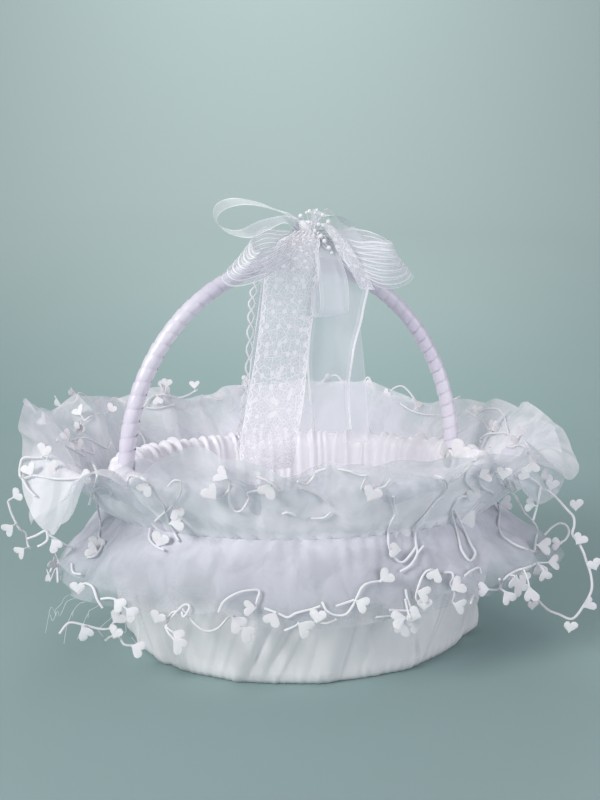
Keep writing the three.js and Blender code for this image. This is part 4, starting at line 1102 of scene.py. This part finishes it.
def make_bow():
    ribbon("organza_loop_left_ribbon",
           [(-3, -6, 258), (-14, -7, 265.5), (-28, -8, 270), (-44, -9, 271.5), (-56, -10, 268), (-60, -10, 261.5),
            (-55, -9, 255), (-42, -9, 252.5), (-29, -8, 258), (-16, -8, 262), (-4, -6, 258)],
           [(0, 0.3, 1), (0, 0.93, 0.36), (0, 1, 0.3), (0, 1, 0.3), (0.12, 1, 0.3), (0.2, 1, 0.28),
            (0.1, 1, 0.28), (0, 1, 0.3), (0, 1, 0.36), (0, 1, 0.4), (0, 0.3, 1)], 22, ORGANZA_SMALL,
           "organza_loop_left", pinch=[0.5, 0.75, 0.95, 1, 1, 1, 1, 1, 0.9, 0.7, 0.5])
    ribbon("organza_loop_right_ribbon",
           [(3, -5, 258), (9, -3, 267), (22, 1, 267), (35, 4, 263), (45, 6, 256), (44, 6, 250),
            (34, 3, 249), (20, -1, 252), (5, -5, 255)],
           [(0, 0.3, 1), (0.2, 0.9, 0.5), (0, 1, 0.1), (0, 1, 0.2), (0.2, 1, 0.2), (0.4, 0.9, 0), (0, 1, 0.2),
            (0, 1, 0.3), (0, 0.3, 1)], 20, ORGANZA_SMALL, "organza_loop_right",
           pinch=[0.5, 0.8, 1, 1, 1, 1, 0.95, 0.8, 0.5])
    ribbon("organza_peak_ribbon",
           [(4, -12, 256), (7, -13, 264), (12, -13, 269), (17, -15, 264), (24, -18, 256), (31, -20, 246)],
           [(1, 0.3, 0.2), (0.9, 0.3, 0.5), (0.6, 0.9, 0), (0.7, 0.5, -0.6), (0.7, 0.3, 0.3), (0.8, 0.2, 0.3)], 15,
           ORGANZA_SMALL, "organza_loop_right", pinch=[0.5, 0.8, 0.6, 0.8, 1, 0.6])
    for layer in (0, 1):
        d = layer * 2.5
        ribbon(f"lace_loop_left_{layer + 1}",
               [(-5, -12, 250), (-18, -15 - d, 250 - d), (-34, -19 - d, 248 - d), (-47, -24, 242 - d),
                (-53 + d, -28, 234), (-49 + d, -31, 230 + d), (-36, -29 + d, 234), (-20, -22, 242), (-5, -14, 248)],
               [(0.1, 0.3, 1), (0.0, 0.45, 1), (0.25, 0.5, 0.9), (0.65, 0.3, 0.8), (0.8, -0.1, 0.7),
                (0.6, -0.4, 0.8), (0.3, -0.1, 1), (0.1, 0.1, 1), (0.1, 0.3, 1)], 27 - 2 * layer, CORDED,
               "lace_loop_left", pinch=[0.32, 0.5, 0.75, 0.9, 0.95, 0.95, 0.8, 0.6, 0.32])
        ribbon(f"lace_loop_right_{layer + 1}",
               [(5, -12, 252), (21, -13 - d, 249), (37, -14 - d, 247 - d), (52, -16, 245 - d),
                (60 - d, -20, 241), (57 - d, -25, 236 + d), (44, -26, 235 + d), (26, -21, 240), (6, -14, 250)],
               [(-0.1, 0.3, 1), (-0.1, 0.45, 1), (-0.2, 0.5, 0.9), (-0.5, 0.4, 0.8), (-0.7, 0, 0.75),
                (-0.5, -0.3, 0.85), (-0.2, -0.1, 1), (-0.1, 0.1, 1), (-0.1, 0.3, 1)], 31 - 2 * layer, CORDED,
               "lace_loop_right", pinch=[0.3, 0.6, 0.9, 1, 1, 1, 0.95, 0.7, 0.3])
    ribbon("organza_front_loop_ribbon",
           [(5, -16, 252), (8, -22, 240), (10, -27, 222), (10, -28, 208), (9, -25, 203.5), (8, -21, 209),
            (8, -19, 224), (7, -17, 240), (4, -14, 250)],
           [(1, 0.1, 0.2), (1, 0.05, 0.2), (1, 0.1, 0.1), (1, 0.1, 0.05), (1, 0, 0.1), (1, 0, 0.1), (1, 0, 0.1),
            (1, 0, 0.1), (1, 0.1, 0.2)], 21, ORGANZA_SMALL, "organza_front_loop",
           pinch=[0.35, 0.8, 1, 1, 1, 1, 0.9, 0.6, 0.35])


def hang(name, tops, width, material, slot, node, sway=1.5, seed=1, pinch=None, ends=(0.0, 0.0)):
    """A tail that falls from the knot through points (x, y, z)."""
    rng = random.Random(seed)
    line = [Vector(p) for p in tops]
    sides = [Vector((1, rng.uniform(-0.18, 0.18), 0)) for _ in line]
    return ribbon(name, line, sides, width, material, node, cup=sway, pinch=pinch, along=140)


def make_tails():
    hang("lace_tail_wide_ribbon",
         [(-3, -15, 255), (-11, -20.5, 246), (-14.5, -20, 231), (-17, -18.5, 208), (-21, -18, 180),
          (-26, -18.5, 150), (-31, -19, 125), (-32, -18.5, 108)], 36, LACE, "lace",
         "lace_tail_wide", sway=2.2, seed=3, pinch=[0.45, 0.8, 0.98, 1, 1, 1, 1, 1])
    hang("organza_tail_left_ribbon",
         [(-4, -13, 254), (-11, -17, 245), (-14.5, -16.5, 231), (-17, -14.5, 208), (-21.5, -14, 180),
          (-26, -14, 150), (-31, -14.5, 125)], 35, ORGANZA_CLEAR, "organza",
         "organza_tail_left", sway=-1.6, seed=4, pinch=[0.45, 0.85, 1, 1, 1, 1, 1])
    hang("lace_tail_narrow_ribbon",
         [(-12, -11, 246), (-25, -11, 234), (-34, -11.5, 219), (-36.5, -11.5, 198), (-38, -11, 170),
          (-42, -11.5, 144), (-44, -11, 118)], 11, CHAIN, "lace",
         "lace_tail_narrow", sway=0.8, seed=5, pinch=[0.5, 0.8, 1, 1, 1, 1, 1])
    hang("organza_tail_right_ribbon",
         [(5, -15, 252), (14, -17, 243), (22, -16, 228), (18.5, -14.5, 205), (14, -14, 180),
          (13, -14, 155), (15, -14, 130)], 37, ORGANZA, "organza",
         "organza_tail_right", sway=2.6, seed=6, pinch=[0.4, 0.75, 1, 0.97, 0.84, 0.8, 0.76])
    hang("organza_tail_back_ribbon",
         [(8, -9.5, 248), (18, -10, 236), (26, -10, 214), (29, -10, 190), (33, -10, 160),
          (36, -10, 120)], 17, ORGANZA_SMALL, "organza",
         "organza_tail_back", sway=-1.5, seed=7, pinch=[0.4, 0.9, 1, 1, 1, 1])
    hang("lace_band_right",
         [(9, -17, 260), (15, -21, 252), (20, -23, 243), (28, -23.5, 232), (36, -22, 220)], 11, LACE, "lace",
         "lace_loop_right", sway=1.2, seed=8, pinch=[0.7, 0.9, 1, 1, 0.9])


def make_knot():
    """The strip that ties the bow: down over the handle and round its middle."""
    ripple = wave_set(91, 5, 9, 3)

    def place(u, v):
        a, s = u * TURN, v - 0.5
        up = 0.5 + 0.5 * math.cos(a)
        radius = 6.5 + 1.2 * math.cos(s * math.pi) + 0.5 * ripple(a) + 0.35 * math.sin(a * 9 + s * 8)
        width = 18 - 7 * up
        return Vector((s * width + 1.5 * up, radius * math.sin(a) * (1 + 0.15 * up) - 2.5 * up,
                       APEX + radius * math.cos(a) + 17.5 * up ** 1.5))

    knot = cloth("bow_knot_wrap", 84, 20, place, (0.085, 0.018), ORGANZA_SMALL, closed=True)
    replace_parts(knot, "bow_knot")


def make_pearls():
    rng = random.Random(15)
    root = Vector((2, -13, 255))
    tips = [(-9, -2, 9), (-6, -4, 11), (-3, -2, 12), (0, -4, 11), (2, -2, 13), (5, -4, 10), (8, -6, 6),
            (-5, -6, 5), (-2, -8, 0), (2, -8, -3), (4, -9, -6), (7, -9, -10), (9, -9, -13), (1, -7, 4)]
    bm = bmesh.new()
    for i, tip in enumerate(tips):
        end = root + Vector(tip)
        mid = root.lerp(end, 0.5) + Vector((rng.uniform(-1, 1), -0.6, rng.uniform(-1, 1)))
        wire = cord_curve(f"pearl_wire_{i + 1}", [along_line([root, mid, end], j / 8) for j in range(9)],
                          0.45, TRIM, sides=1)
        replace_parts(wire, "pearl_spray")
        bmesh.ops.create_icosphere(bm, subdivisions=3, radius=rng.uniform(0.9, 1.5) * MM,
                                   matrix=Matrix.Translation(end * MM))
    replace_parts(make_object("pearl_beads", bm, PEARL), "pearl_spray")


# ---------------------------------------------------------------- carried-over pieces
def finish_nodes():
    finishes = {"base_board": BOARD, "wicker_wall": CANE, "rim_hoop": CANE, "handle_rod": CANE,
                }
    for name, node in nodes.items():
        material = finishes.get(name, CANE if name.startswith("upright") else None)
        if material:
            node.data.materials.clear()
            node.data.materials.append(material)


# ---------------------------------------------------------------- stage
def make_stage():
    material, tree, principled = new_material("pale_floor_painted_light", Roughness=0.85, Specular_IOR_Level=0.15)
    place = object_place(tree)
    split = add_node(tree, "ShaderNodeSeparateXYZ", {0: place})
    # painted light: the colour runs from a darker floor to a lighter sweep higher up, a painted gradient of light;
    # the noise adds a little random tone to it
    noise = add_node(tree, "ShaderNodeTexNoise", {"Vector": place, "Scale": 2.0, "Detail": 3.0})
    rise = calc(tree, "ADD", split.outputs["Z"], calc(tree, "MULTIPLY", noise.outputs["Fac"], 0.1))
    colour = blend_colours(tree, ramp(tree, rise, -0.15, 0.6), (0.27, 0.385, 0.38, 1), (0.45, 0.555, 0.54, 1))
    tree.links.new(colour, principled.inputs["Base Color"])
    bm = bmesh.new()
    bmesh.ops.create_grid(bm, x_segments=2, y_segments=60, size=1.0)
    heading = Matrix.Rotation(math.radians(-24.8), 4, "Z")
    for vert in bm.verts:
        run = (vert.co.y + 1) * 2.6
        bend = min(max(run - 2.4, 0) / 1.2, math.pi / 2)
        rise = max(run - 2.4 - 1.2 * math.pi / 2, 0)
        vert.co = heading @ Vector((vert.co.x * 4, -1.4 + min(run, 2.4) + 1.2 * math.sin(bend),
                                    1.2 * (1 - math.cos(bend)) + rise))
    mesh = bpy.data.meshes.new("floor_sweep")
    bm.to_mesh(mesh)
    bm.free()
    for face in mesh.polygons:
        face.use_smooth = True
    mesh.materials.append(material)
    floor = bpy.data.objects.new("floor_sweep", mesh)
    bpy.context.scene.collection.objects.link(floor)


def add_light(name, place, target, size, power, colour=(1, 1, 1)):
    light = bpy.data.lights.new(name, "AREA")
    light.shape, light.size, light.energy, light.color = "DISK", size, power, colour
    lamp = bpy.data.objects.new(name, light)
    lamp.location = place
    lamp.rotation_euler = (Vector(target) - Vector(place)).to_track_quat("-Z", "Y").to_euler()
    bpy.context.scene.collection.objects.link(lamp)


def light_scene():
    add_light("key_softbox", (-1.24, -0.44, 0.8), (0, 0, 0.1), 0.55, 14.8, (1, 0.975, 0.975))
    add_light("fill_panel", (0.72, -1.32, 0.4), (0, 0, 0.1), 1.1, 8.2, (0.99, 0.95, 1))
    add_light("back_panel", (0.6, 1.1, 1.2), (0, 0, 0.1), 0.9, 6, (1, 0.98, 1))
    add_light("wall_wash", (0.3, 1.1, 1.9), (1.1, 2.6, 1.0), 1.4, 15.5, (1, 1, 1))
    world = bpy.data.worlds.new("soft_room")
    world.use_nodes = True
    world.node_tree.nodes["Background"].inputs[0].default_value = (0.88, 0.88, 0.95, 1)
    world.node_tree.nodes["Background"].inputs[1].default_value = 0.4
    bpy.context.scene.world = world
    bpy.context.scene.view_settings.view_transform = "Standard"


def make_camera():
    data = bpy.data.cameras.new("camera")
    data.lens, data.sensor_width = 38.77, 36.0
    data.shift_x, data.shift_y = -0.0344, 0.0621
    camera = bpy.data.objects.new("camera", data)
    camera.location = Vector((-220.14, -516.29, 205.05)) * MM
    camera.rotation_euler = Vector((0.414, 0.8968, -0.1563)).to_track_quat("-Z", "Y").to_euler()
    bpy.context.scene.collection.objects.link(camera)
    bpy.context.scene.camera = camera


make_camera()
make_loose_loop()
make_cover()
make_lining()
make_floor_pad()
make_tape()
make_underside()
make_ruffle()
make_vines()
make_threads()
make_wrap()
make_petals()
make_knot()
make_bow()
make_tails()
make_pearls()
finish_nodes()
make_stage()
light_scene()

bpy.context.view_layer.update()
